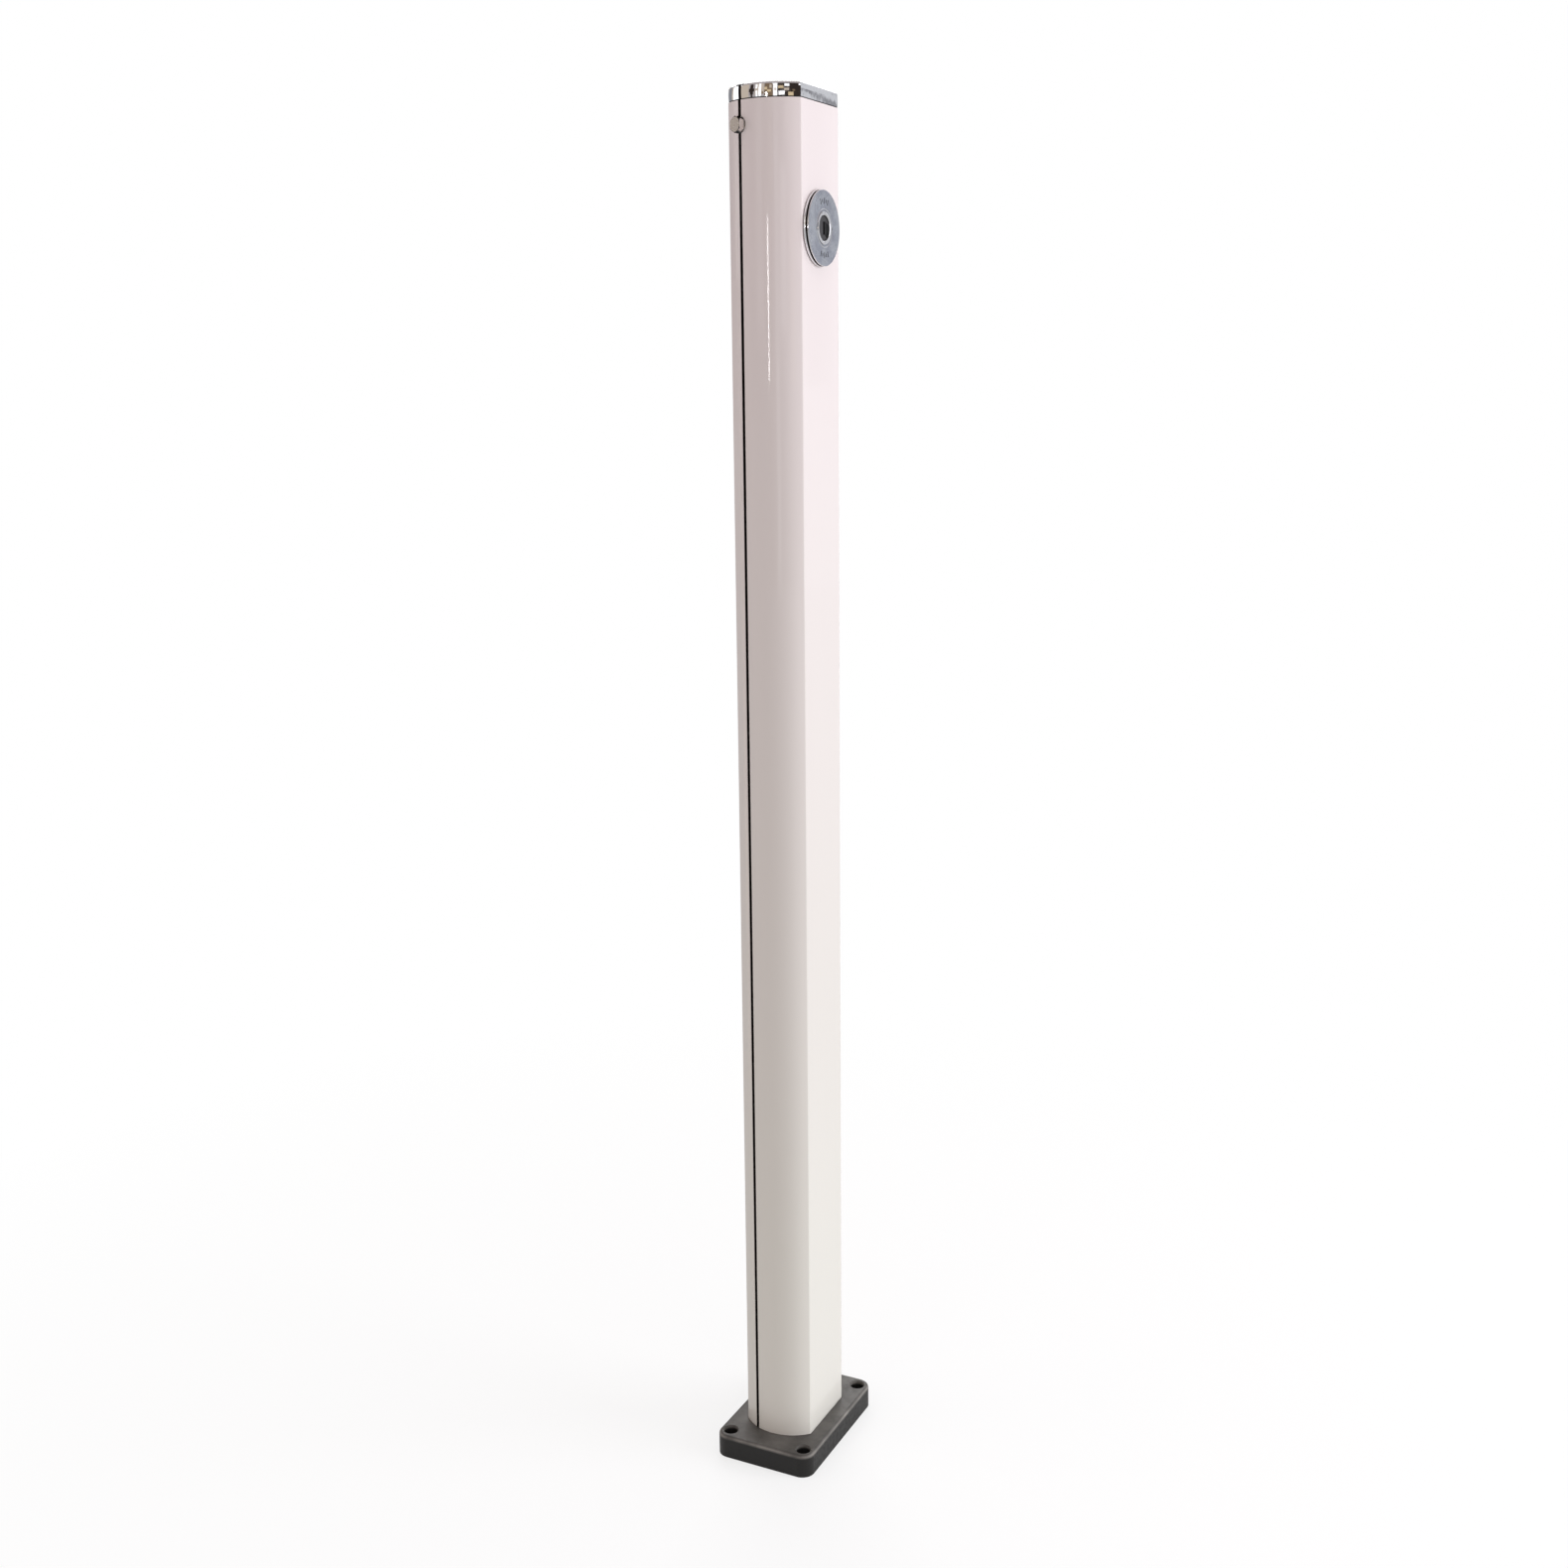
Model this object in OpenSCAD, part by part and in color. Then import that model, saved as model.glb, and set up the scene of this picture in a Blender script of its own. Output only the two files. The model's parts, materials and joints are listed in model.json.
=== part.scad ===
// Retractable bollard: a slotted aluminium post on a bolted foot. The stud that carries the end of a
// chain runs in a track behind the slot, and a key lock throws a bolt that holds it at the top.
// Millimetres. +Z is up, the slotted end faces -Y, the lock faces +X, and the origin is the middle
// of the foot's underside.

/* [Overall] */
// Height from the ground to the top of the cap
total_h = 1000; // [850:5:1250]

/* [Post] */
// Width of the profile between its two flat sides
post_w = 54; // [46:0.5:70]
// Length of each flat side
flat_l = 57.6; // [54:0.1:80]
// How far each curved end stands out beyond the flats
end_bulge = 11.7; // [10:0.1:15]
// Thickness of the outer wall
wall = 2.5; // [2:0.1:3.2]
// Outer radius of each screw port
port_r = 3.9; // [3.5:0.1:4.2]
// Diameter of the hole in each screw port
port_d = 4.2; // [3.6:0.1:4.6]

/* [Slot and track] */
// Angle of the slot from the middle of the curved end
slot_angle = 22; // [18:0.5:26]
// Width of the slot
slot_w = 2.8; // [2.4:0.1:3.6]
// Width of the track behind the slot
track_w = 16; // [14:0.5:18]
// Depth of the track
track_d = 10.4; // [9:0.1:12]
// Thickness of the track's sides and lips
track_wall = 2; // [1.6:0.1:2.4]
// Gap between the two lips at the back of the track
lip_gap = 9.6; // [8.8:0.1:10.4]

/* [Foot] */
// Width of the foot
base_w = 80; // [76:1:110]
// Length of the foot
base_l = 120; // [114:1:160]
// Thickness of the foot
base_h = 18; // [15:0.5:26]
// Radius of the foot's corners
base_corner_r = 10; // [8:0.5:12]
// Rounding of the foot's top edge
base_edge_r = 2.5; // [1.5:0.1:3]
// Distance of each anchor hole from the foot's long side
anchor_side = 9; // [9:0.5:12]
// Distance of each anchor hole from the foot's short side
anchor_end = 10; // [9:0.5:14]
// Diameter of the anchor holes
anchor_d = 11; // [9:0.5:12]
// Depth of the seat that the post stands in
seat_d = 1.5; // [1:0.1:2.5]

/* [Cap] */
// Height of the cap that shows
cap_h = 9.2; // [8:0.1:14]
// How far the cap's side stands back from the post's
cap_inset = 0.3; // [0:0.1:1]
// Rounding of the cap's top edge
cap_edge_r = 1.8; // [0.8:0.1:2.4]
// Thickness of the gasket under the cap
gasket_t = 0.8; // [0.5:0.1:1.5]

/* [Lock] */
// Distance of the lock's axis below the top of the cap
lock_drop = 90.6; // [85:0.1:120]
// Offset of the lock's axis along the flat, towards the slot when negative
lock_y = -3; // [-4:0.5:3]
// Diameter of the rosette
rosette_d = 50; // [42:1:60]
// Thickness of the rosette
rosette_t = 3.8; // [3.5:0.1:6]
// Diameter of the lock's threaded barrel
barrel_d = 18.8; // [18:0.1:20]
// Distance of the crank pin from the lock's axis
crank_r = 7; // [6:0.1:8]

/* [Carriage] */
// Distance of the stud's axis below the top of the cap
stud_drop = 25.6; // [22:0.1:40]
// Width of the stud's head across its flats
stud_af = 9.6; // [8:0.1:12]
// Height of the stud's head
stud_head_h = 4; // [3:0.1:6]
// Diameter of the round hole that the stud is fitted through
stud_hole_d = 10.8; // [9:0.1:12]

/* [Hidden] */
$fn = 64;

// Colours of the finishes
paint = "#f1ece8";
foot_grey = "#4a4a48";
chrome = "#d8dce0";
steel = "#9aa0a5";
zinc = "#b9bcc0";
black = "#1b1b1c";
brass = "#c8a45a";
nylon = "#e6e2d6";

// Clearances
slip = 0.2;    // between pieces that slide on each other
loose = 0.3;   // between pieces that are dropped into place
turn = 0.05;   // around a shaft, on the radius
over = 1;      // how far a cut runs past the face it starts from

// Profile of the post
end_r = (pow(post_w / 2, 2) + pow(end_bulge, 2)) / (2 * end_bulge);
post_l = flat_l + 2 * end_bulge;
arc_c = post_l / 2 - end_r;
port_x = post_w / 2 - wall - port_r + 0.4;
port_y = flat_l / 2 - 5.3;

// Heights
cap_bottom = total_h - cap_h;
post_top = cap_bottom - gasket_t;
post_bottom = base_h - seat_d;
lock_z = total_h - lock_drop;
stud_z = total_h - stud_drop;

// Track, measured inwards from the post's outer face
track_front = wall + 0.3;
track_back = track_front + track_d;
lip_back = track_back + track_wall;

// Carriage
block_w = track_w - 1.6;
block_front = track_front + 0.6;
block_back = track_back - 0.6;
rib_w = lip_gap - 1.6;
rib_back = lip_back + 0.8;
block_top = stud_z + 5.9;
block_bottom = lock_z - 10.4;
stud_gap = 0.5;                 // from the post's face to the back of the stud's head
stud_neck_w = slot_w - 0.6;
stud_neck_h = 6;
stud_shank_d = 6;
stud_shank_end = block_back - 1.5;
stud_pin_d = 2;
stud_pin_l = 9;
pad_d = 8;
pad_sunk = 2;
pad_z = [block_bottom + 26, block_top - 20];
brake_z = (pad_z[0] + pad_z[1]) / 2;
brake_d = 8;
brake_pad_l = 3.2;
brake_bore_end = block_back - 1;

// Buffer at the foot of the track
buffer_h = 14;
buffer_top = post_bottom + buffer_h;
buffer_w = track_w - 0.8;
buffer_stem_d = 5;
buffer_stem_at = (track_front + track_back) / 2;

// Foot
foot_skin = 4;
foot_wall = 5;
foot_rib = 4;
pocket_h = base_h - seat_d - foot_skin;
anchor_boss_r = anchor_d / 2 + 4;
anchor_chamfer = 0.6;
screw_boss_r = 6.5;
foot_tab_h = 22;
tab_t = 3;

// Countersunk screws that hold the foot and the cap
screw_head_d = 9.2;
screw_head_h = 2.5;
screw_sunk = 3;                 // depth of the foot's screw heads below its underside
screw_grip = 28;
socket_af = 3;

// Lock, measured along +X from the middle of the post
flat_x = post_w / 2;
wall_in_x = flat_x - wall;
seal_t = 0.4;
rosette_x = flat_x + seal_t;
rosette_face_x = rosette_x + rosette_t;
flange_d = 21.6;
flange_t = 1.4;
flange_x = rosette_face_x - 0.8;
plug_head_d = 16.6;
plug_head_t = 2;
plug_d = 13;
plug_face_x = flange_x + flange_t - 1;
plug_tail_af = 7;
case_t = 1.5;
washer_t = 0.8;
nut_t = 4;
nut_af = 24;

// Latch bolt, which slides along Y beside the track
latch_t = 5;
latch_h = 8;
latch_x = track_point(0, rib_back)[0];
latch_tip_y = track_point(-rib_w / 2, rib_back)[1] + 0.9;
latch_throw = 2 * crank_r * sin(45);
yoke_play = 0.35;
crank_pin_d = 4;
yoke_y = lock_y + crank_r * sin(45);
yoke_half = crank_pin_d / 2 + yoke_play;
yoke_side = 3;

// Crank on the back of the plug
crank_t = 2.5;
crank_x = latch_x + latch_t / 2 + 6;
barrel_end_x = crank_x + crank_t + 2.3;
clip_t = 0.8;
clip_d = 17;
clip_groove_d = 11.4;
keyway_w = 2.4;
keyway_h = 8.6;
wafer_n = 5;
wafer_t = 1;
wafer_w = 5;
wafer_h = 11.6;
wafer_pitch = (plug_face_x - plug_head_t - barrel_end_x - 6) / wafer_n;

// Case around the crank and the latch bolt
case_front_y = -(port_y - port_r) + 0.4;
case_back_y = lock_y + nut_af / 2 + 4.5;
case_half_h = 22.5;
case_open_x = latch_x - latch_t / 2 - 2.6;
latch_end_y = case_back_y + latch_throw + 0.6;
lug = 6;

// Point in the plan that lies v across the slot and w inwards from the post's outer face.
function track_point(v, w) = [
    -end_r * sin(slot_angle) + v * cos(slot_angle) + w * sin(slot_angle),
    -arc_c - end_r * cos(slot_angle) - v * sin(slot_angle) + w * cos(slot_angle)
];

// Puts its children in the track's frame: X across the slot, Y inwards from the outer face.
module in_track() {
    translate([0, -arc_c, 0]) rotate([0, 0, -slot_angle]) translate([0, -end_r, 0]) children();
}

// Puts its children on the lock's axis at x, with their Z along the post's X.
module on_lock(x) {
    translate([x, lock_y, lock_z]) rotate([0, 90, 0]) children();
}

// Puts its children at the four screw ports.
module at_ports() {
    for (x = [-port_x, port_x], y = [-port_y, port_y]) translate([x, y, 0]) children();
}

// Box between two corners.
module box(a, b) {
    translate(a) cube([b[0] - a[0], b[1] - a[1], b[2] - a[2]]);
}

// Outline of the post, drawn in by inset all round.
module outline(inset) {
    intersection() {
        square([post_w - 2 * inset, post_l + 20], center = true);
        union() {
            for (s = [-1, 1]) intersection() {
                translate([0, s * arc_c]) circle(end_r - inset);
                translate([0, s * post_l / 2]) square([2 * end_r, post_l], center = true);
            }
            if (arc_c > 0) square([post_w + 2, 2 * arc_c], center = true);
        }
    }
}

// Cross-section of the extruded post, with its screw ports and the slotted track.
module post_section() {
    difference() {
        union() {
            difference() {
                outline(0);
                outline(wall);
            }
            intersection() {
                outline(wall / 2);
                union() {
                    at_ports() circle(port_r);
                    in_track() translate([-track_w / 2 - track_wall, 0])
                        square([track_w + 2 * track_wall, lip_back]);
                }
            }
        }
        at_ports() circle(port_d / 2);
        in_track() {
            translate([-slot_w / 2, -over]) square([slot_w, track_front + 2 * over]);
            translate([-track_w / 2, track_front]) square([track_w, track_d]);
            translate([-lip_gap / 2, track_back - over]) square([lip_gap, track_wall + 2 * over]);
        }
    }
}

module post_profile() {
    color(paint) difference() {
        translate([0, 0, post_bottom]) linear_extrude(post_top - post_bottom) post_section();
        on_lock(wall_in_x - over) cylinder(d = barrel_d + 2 * loose, h = wall + 2 * over);
        in_track() translate([0, -over, stud_z]) rotate([-90, 0, 0])
            cylinder(d = stud_hole_d, h = track_front + 2 * over);
    }
}

// Tabs that stand inside the post between its screw ports, t thick and h tall.
module tabs(t, h) {
    linear_extrude(h) intersection() {
        outline(wall + loose);
        union() {
            for (s = [-1, 1]) translate([s * (wall_in_x - loose - t / 2), 0])
                square([t, 2 * (port_y - port_r - 1.5)], center = true);
            translate([0, post_l / 2 - wall - loose - t / 2])
                square([24, t], center = true);
        }
    }
}

// Countersunk screw, with its flat head up at z = 0 and its shank down to -l.
module csk_screw(l) {
    difference() {
        union() {
            translate([0, 0, -screw_head_h])
                cylinder(d1 = port_d - 0.1, d2 = screw_head_d, h = screw_head_h);
            translate([0, 0, -l + 2]) cylinder(d = port_d - 0.1, h = l - 2);
            translate([0, 0, -l]) cylinder(d1 = port_d / 3, d2 = port_d - 0.1, h = 2);
        }
        translate([0, 0, -1.6]) cylinder(d = socket_af / cos(30), h = 1.6 + over, $fn = 6);
    }
}

// Hole for such a screw, drilled down from z = 0 to -l.
module csk_hole(l) {
    translate([0, 0, -screw_head_h - 0.2])
        cylinder(d1 = port_d + 0.4, d2 = screw_head_d + 0.6, h = screw_head_h + 0.2);
    translate([0, 0, -l]) cylinder(d = port_d + 1, h = l);
    translate([0, 0, -0.01]) cylinder(d = screw_head_d + 0.6, h = screw_sunk + over);
}

// Section from the origin out to reach and up to h, with its top corner rounded by edge.
module edge_section(reach, h, edge) {
    square([reach - edge, h]);
    square([reach, h - edge]);
    translate([reach - edge, h - edge]) intersection() {
        circle(edge);
        square(edge);
    }
}

// Bar along Y with both of its top edges rounded.
module edged_bar(w, l, h, edge) {
    translate([0, l / 2, 0]) rotate([90, 0, 0]) linear_extrude(l) for (side = [0, 1])
        mirror([side, 0]) edge_section(w / 2, h, edge);
}

// Solid foot with rounded corners and a rounded top edge.
module foot_body() {
    corner_x = base_w / 2 - base_corner_r;
    corner_y = base_l / 2 - base_corner_r;
    edged_bar(base_w, 2 * corner_y, base_h, base_edge_r);
    rotate([0, 0, 90]) edged_bar(base_l, 2 * corner_x, base_h, base_edge_r);
    for (mx = [0, 1], my = [0, 1]) mirror([mx, 0, 0]) mirror([0, my, 0])
        translate([corner_x, corner_y, 0]) rotate_extrude(angle = 90)
            edge_section(base_corner_r, base_h, base_edge_r);
}

// Hollows cored out of the foot's underside, around its bosses and ribs.
module foot_pockets() {
    difference() {
        square([base_w - 2 * foot_wall, base_l - 2 * foot_wall], center = true);
        square([foot_rib, base_l], center = true);
        square([base_w, foot_rib], center = true);
        at_anchors() circle(anchor_boss_r);
        at_ports() circle(screw_boss_r);
    }
}

module at_anchors() {
    ax = base_w / 2 - anchor_side;
    ay = base_l / 2 - anchor_end;
    for (x = [-ax, ax], y = [-ay, ay]) translate([x, y, 0]) children();
}

module base_plate() {
    color(foot_grey) difference() {
        union() {
            difference() {
                foot_body();
                translate([0, 0, post_bottom]) linear_extrude(seat_d + over) outline(-loose);
            }
            translate([0, 0, post_bottom - over]) tabs(tab_t, foot_tab_h + over);
        }
        translate([0, 0, -over]) linear_extrude(pocket_h + over) foot_pockets();
        at_anchors() {
            translate([0, 0, -over]) cylinder(d = anchor_d, h = base_h + 2 * over);
            translate([0, 0, base_h - anchor_chamfer])
                cylinder(r1 = anchor_d / 2, r2 = anchor_d / 2 + 2 * anchor_chamfer, h = 2 * anchor_chamfer);
        }
        at_ports() translate([0, 0, screw_sunk]) mirror([0, 0, 1]) csk_hole(base_h);
        in_track() translate([0, buffer_stem_at, 0])
            cylinder(d = buffer_stem_d + slip, h = base_h + over);
    }
}

module base_screws() {
    color(steel) at_ports() translate([0, 0, screw_sunk]) mirror([0, 0, 1])
        csk_screw(post_bottom - screw_sunk + screw_grip);
}

// Rubber stop in the foot of the track, held by its barbed stem.
module track_buffer() {
    color(black) in_track() {
        box([-buffer_w / 2, track_front + 0.4, post_bottom],
            [buffer_w / 2, track_back - 0.4, buffer_top]);
        translate([0, buffer_stem_at, pocket_h - 2]) {
            cylinder(d = buffer_stem_d, h = post_bottom - pocket_h + 2 + 0.1);
            cylinder(d1 = buffer_stem_d, d2 = buffer_stem_d + 1.4, h = 1.8);
        }
    }
}

module cap_gasket() {
    color(black) translate([0, 0, post_top]) linear_extrude(gasket_t) difference() {
        outline(cap_inset + 0.3);
        outline(wall);
        in_track() translate([-slot_w / 2, -over]) square([slot_w, track_front + 2 * over]);
    }
}

// Solid cap with the post's outline, and its top edge rounded all round.
module cap_body() {
    intersection() {
        edged_bar(post_w - 2 * cap_inset, post_l, cap_h, cap_edge_r);
        union() {
            for (s = [-1, 1]) intersection() {
                translate([0, s * arc_c, 0]) rotate_extrude()
                    edge_section(end_r - cap_inset, cap_h, cap_edge_r);
                translate([-end_r, s > 0 ? 0 : -post_l, 0]) cube([2 * end_r, post_l, cap_h]);
            }
            if (arc_c > 0) translate([-end_r / 2 - post_w / 4, -arc_c, 0])
                cube([end_r + post_w / 2, 2 * arc_c, cap_h]);
        }
    }
}

module top_cap() {
    stop_w = track_w - 0.8;
    color(chrome) difference() {
        union() {
            translate([0, 0, cap_bottom]) cap_body();
            translate([0, 0, post_top - 7]) tabs(2, cap_bottom - post_top + 7.01);
            // Block that stops the carriage at the top of the track
            in_track() box([-stop_w / 2, track_front + 0.4, block_top + 0.4],
                           [stop_w / 2, track_back - 0.4, cap_bottom + 0.01]);
        }
        // Hollow underside, with bosses left round the screws
        translate([0, 0, cap_bottom - over]) linear_extrude(cap_h - 3 + over) difference() {
            outline(wall + loose + 2);
            at_ports() circle(screw_boss_r);
            in_track() translate([-track_w / 2 - track_wall, 0])
                square([track_w + 2 * track_wall, lip_back + 1]);
        }
        in_track() box([-slot_w / 2, -over, block_top], [slot_w / 2, track_front + 3, total_h + over]);
        at_ports() translate([0, 0, total_h]) csk_hole(cap_h + over);
    }
}

module cap_screws() {
    color(steel) at_ports() translate([0, 0, total_h - 0.2]) csk_screw(cap_h + gasket_t + 14);
}

module rosette_seal() {
    color(black) on_lock(flat_x) difference() {
        cylinder(d = rosette_d - 1, h = seal_t);
        translate([0, 0, -over]) cylinder(d = barrel_d + 2 * loose, h = seal_t + 2 * over);
    }
}

// Ring with a grooved edge, dished to seat the barrel's flange.
module rosette() {
    r = rosette_d / 2;
    groove_z = rosette_t * 0.42;
    color(chrome) on_lock(rosette_x) rotate_extrude() difference() {
        polygon([
            [barrel_d / 2 + slip, 0], [r - 0.3, 0], [r, 0.3], [r, groove_z],
            [r - 0.9, groove_z + 0.3], [r - 0.9, groove_z + 0.6], [r - 0.2, groove_z + 0.9],
            [r - 0.2, rosette_t - 1.2], [r - 0.6, rosette_t - 0.4], [r - 1.6, rosette_t],
            [barrel_d / 2 + slip, rosette_t]
        ]);
        translate([0, flange_x - rosette_x]) square([flange_d / 2 + slip, rosette_t]);
    }
}

module lock_barrel() {
    color(chrome) difference() {
        union() {
            on_lock(flange_x) {
                cylinder(d = flange_d, h = flange_t - 0.5);
                translate([0, 0, flange_t - 0.5])
                    cylinder(d1 = flange_d, d2 = flange_d - 1, h = 0.5);
            }
            on_lock(barrel_end_x) cylinder(d = barrel_d, h = flange_x - barrel_end_x + 0.01);
        }
        on_lock(plug_face_x - plug_head_t - turn) cylinder(d = plug_head_d + 2 * turn, h = plug_head_t + 2);
        on_lock(barrel_end_x - over)
            cylinder(d = plug_d + 2 * turn, h = plug_face_x - barrel_end_x);
    }
}

module lock_washer() {
    color(steel) on_lock(wall_in_x - case_t - washer_t) difference() {
        cylinder(d = nut_af + 1, h = washer_t);
        translate([0, 0, -over]) cylinder(d = barrel_d + 2 * turn, h = washer_t + 2 * over);
    }
}

module lock_nut() {
    color(zinc) on_lock(wall_in_x - case_t - washer_t - nut_t) difference() {
        intersection() {
            cylinder(d = nut_af / cos(30), h = nut_t, $fn = 6);
            cylinder(d1 = nut_af + 2.5 + 2 * nut_t, d2 = nut_af + 2.5, h = nut_t);
        }
        translate([0, 0, -over]) cylinder(d = barrel_d + 2 * turn, h = nut_t + 2 * over);
    }
}

// Corners of the case that take the cover's screws, as [y, z] of their middles.
case_lugs = [
    [case_back_y - case_t - lug / 2, lock_z + case_half_h - case_t - lug / 2],
    [case_front_y + case_t + lug / 2, lock_z - case_half_h + case_t + lug / 2]
];

module lock_case() {
    color(zinc) difference() {
        union() {
            difference() {
                box([case_open_x, case_front_y, lock_z - case_half_h],
                    [wall_in_x, case_back_y, lock_z + case_half_h]);
                box([case_open_x - over, case_front_y + case_t, lock_z - case_half_h + case_t],
                    [wall_in_x - case_t, case_back_y - case_t, lock_z + case_half_h - case_t]);
            }
            for (c = case_lugs)
                box([case_open_x, c[0] - lug / 2 - 0.1, c[1] - lug / 2 - 0.1],
                    [case_open_x + 10, c[0] + lug / 2 + 0.1, c[1] + lug / 2 + 0.1]);
        }
        on_lock(wall_in_x - case_t - over) cylinder(d = barrel_d + 2 * turn, h = case_t + 2 * over);
        // Windows that guide the latch bolt
        box([latch_x - latch_t / 2 - slip, case_front_y - over, lock_z - latch_h / 2 - slip],
            [latch_x + latch_t / 2 + slip, case_back_y + over, lock_z + latch_h / 2 + slip]);
        for (c = case_lugs) translate([case_open_x - over, c[0], c[1]]) rotate([0, 90, 0])
            cylinder(d = 2.6, h = 9 + over);
    }
}

module case_cover() {
    color(zinc) difference() {
        box([case_open_x - case_t, case_front_y, lock_z - case_half_h],
            [case_open_x, case_back_y, lock_z + case_half_h]);
        for (c = case_lugs) translate([case_open_x - case_t - over, c[0], c[1]])
            rotate([0, 90, 0]) cylinder(d = 3.2, h = case_t + 2 * over);
    }
}

module case_screws() {
    color(steel) for (c = case_lugs) translate([case_open_x - case_t, c[0], c[1]])
        rotate([0, 90, 0]) {
            difference() {
                translate([0, 0, -1.8]) cylinder(d1 = 4.4, d2 = 5.4, h = 1.8);
                translate([0, 0, -1.8 - over])
                    cylinder(d = 2 / cos(30), h = over + 1.1, $fn = 6);
            }
            cylinder(d = 2.5, h = 8);
        }
}

// Slots along the plug that the wafers stand in.
module wafer_places() {
    first = barrel_end_x + 3;
    for (i = [0 : wafer_n - 1]) translate([first + i * wafer_pitch, lock_y, lock_z]) children();
}

module lock_plug() {
    color(black) difference() {
        union() {
            on_lock(plug_face_x - plug_head_t) cylinder(d = plug_head_d, h = plug_head_t);
            on_lock(crank_x + crank_t)
                cylinder(d = plug_d, h = plug_face_x - plug_head_t - crank_x - crank_t + 0.01);
            on_lock(crank_x) intersection() {
                cylinder(d = plug_d, h = crank_t + 0.01);
                translate([-plug_tail_af / 2, -plug_tail_af / 2, 0])
                    cube([plug_tail_af, plug_tail_af, crank_t + 0.01]);
            }
        }
        // Groove for the clip
        on_lock(barrel_end_x - 1.1) difference() {
            cylinder(d = plug_d + over, h = 1);
            translate([0, 0, -over]) cylinder(d = clip_groove_d, h = 1 + 2 * over);
        }
        // Keyway, and the slots for the wafers
        box([barrel_end_x + 1.5, lock_y - keyway_w / 2, lock_z - keyway_h / 2],
            [plug_face_x + over, lock_y + keyway_w / 2, lock_z + keyway_h / 2]);
        wafer_places() cube([wafer_t + slip, wafer_w + slip, wafer_h + slip], center = true);
        on_lock(crank_x - over) cylinder(d = 4 + 2 * turn, h = crank_t + 3);
    }
}

module lock_wafers() {
    color(brass) wafer_places() difference() {
        cube([wafer_t, wafer_w, wafer_h], center = true);
        cube([wafer_t + over, keyway_w + slip, keyway_h - 1.6], center = true);
    }
}

// Clip that keeps the plug in its barrel.
module plug_clip() {
    color(steel) on_lock(barrel_end_x - 1.0) difference() {
        cylinder(d = clip_d, h = clip_t);
        translate([0, 0, -over]) cylinder(d = clip_groove_d + 2 * turn, h = clip_t + 2 * over);
        translate([-clip_groove_d * 0.35, 0, -over])
            cube([clip_groove_d * 0.7, clip_d, clip_t + 2 * over]);
    }
}

// Middle of the crank pin as the lock stands open, as [y, z].
pin_at = [lock_y + crank_r * sin(45), lock_z + crank_r * cos(45)];

module crank_arm() {
    color(steel) difference() {
        intersection() {
            translate([crank_x, 0, 0]) rotate([90, 0, 90]) linear_extrude(crank_t) hull() {
                translate([lock_y, lock_z]) circle(7.4, $fn = 32);
                translate(pin_at) circle(4, $fn = 32);
            }
            on_lock(crank_x) cylinder(r = crank_r + 3.6, h = crank_t);
        }
        box([crank_x - over, lock_y - plug_tail_af / 2 - turn, lock_z - plug_tail_af / 2 - turn],
            [crank_x + crank_t + over, lock_y + plug_tail_af / 2 + turn, lock_z + plug_tail_af / 2 + turn]);
        translate([crank_x - over, pin_at[0], pin_at[1]]) rotate([0, 90, 0])
            cylinder(d = 3 + 2 * turn, h = crank_t + 2 * over);
    }
}

module crank_pin() {
    reach = crank_x - latch_x + latch_t / 2 + 0.8;
    color(steel) translate([crank_x - reach, pin_at[0], pin_at[1]]) rotate([0, 90, 0]) {
        cylinder(d = crank_pin_d, h = reach);
        cylinder(d = 3, h = reach + crank_t);
    }
}

module crank_screw() {
    color(steel) on_lock(crank_x) {
        difference() {
            translate([0, 0, -2.4]) cylinder(d1 = 8, d2 = 9.6, h = 2.4);
            translate([0, 0, -2.4 - over]) cylinder(d = 2.5 / cos(30), h = 1.6 + over, $fn = 6);
        }
        cylinder(d = 4, h = crank_t + 1.5);
    }
}

// Bar that slides in the case's two windows, with a yoke that the crank pin drives.
module latch_bolt() {
    yoke_top = lock_z + crank_r + crank_pin_d / 2 + 3.5;
    color(steel) difference() {
        union() {
            box([latch_x - latch_t / 2, latch_tip_y, lock_z - latch_h / 2],
                [latch_x + latch_t / 2, latch_end_y, lock_z + latch_h / 2]);
            box([latch_x - latch_t / 2, yoke_y - yoke_half - yoke_side, lock_z - latch_h / 2],
                [latch_x + latch_t / 2, yoke_y + yoke_half + yoke_side, yoke_top]);
        }
        box([latch_x - latch_t, yoke_y - yoke_half, lock_z + crank_r * cos(45) - crank_pin_d / 2 - 0.6],
            [latch_x + latch_t, yoke_y + yoke_half, lock_z + crank_r + crank_pin_d / 2 + 0.6]);
    }
}

module carriage_block() {
    color(zinc) difference() {
        in_track() {
            box([-block_w / 2, block_front, block_bottom], [block_w / 2, block_back, block_top]);
            box([-rib_w / 2, block_back - 0.1, block_bottom], [rib_w / 2, rib_back, block_top]);
        }
        in_track() {
            translate([0, block_front - over, stud_z]) rotate([-90, 0, 0])
                cylinder(d = stud_shank_d + 2 * turn, h = stud_shank_end - block_front + over + 0.5);
            translate([0, (block_front + stud_shank_end) / 2, block_top - stud_pin_l])
                cylinder(d = stud_pin_d + 2 * turn, h = stud_pin_l + over);
            for (z = pad_z, s = [-1, 1])
                translate([s * (block_w / 2 - pad_sunk), (block_front + block_back) / 2, z])
                    rotate([0, s * 90, 0]) cylinder(d = pad_d + 2 * turn, h = pad_sunk + over);
            translate([0, block_front - over, brake_z]) rotate([-90, 0, 0])
                cylinder(d = brake_d + 2 * turn, h = brake_bore_end - block_front + over);
        }
        // Pocket that the latch bolt enters
        box([latch_x - latch_t / 2 - 0.5, latch_tip_y - latch_throw - 0.6, lock_z - latch_h / 2 - 0.5],
            [latch_x + latch_t / 2 + 0.5, latch_tip_y + 4, lock_z + latch_h / 2 + 0.5]);
    }
}

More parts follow.
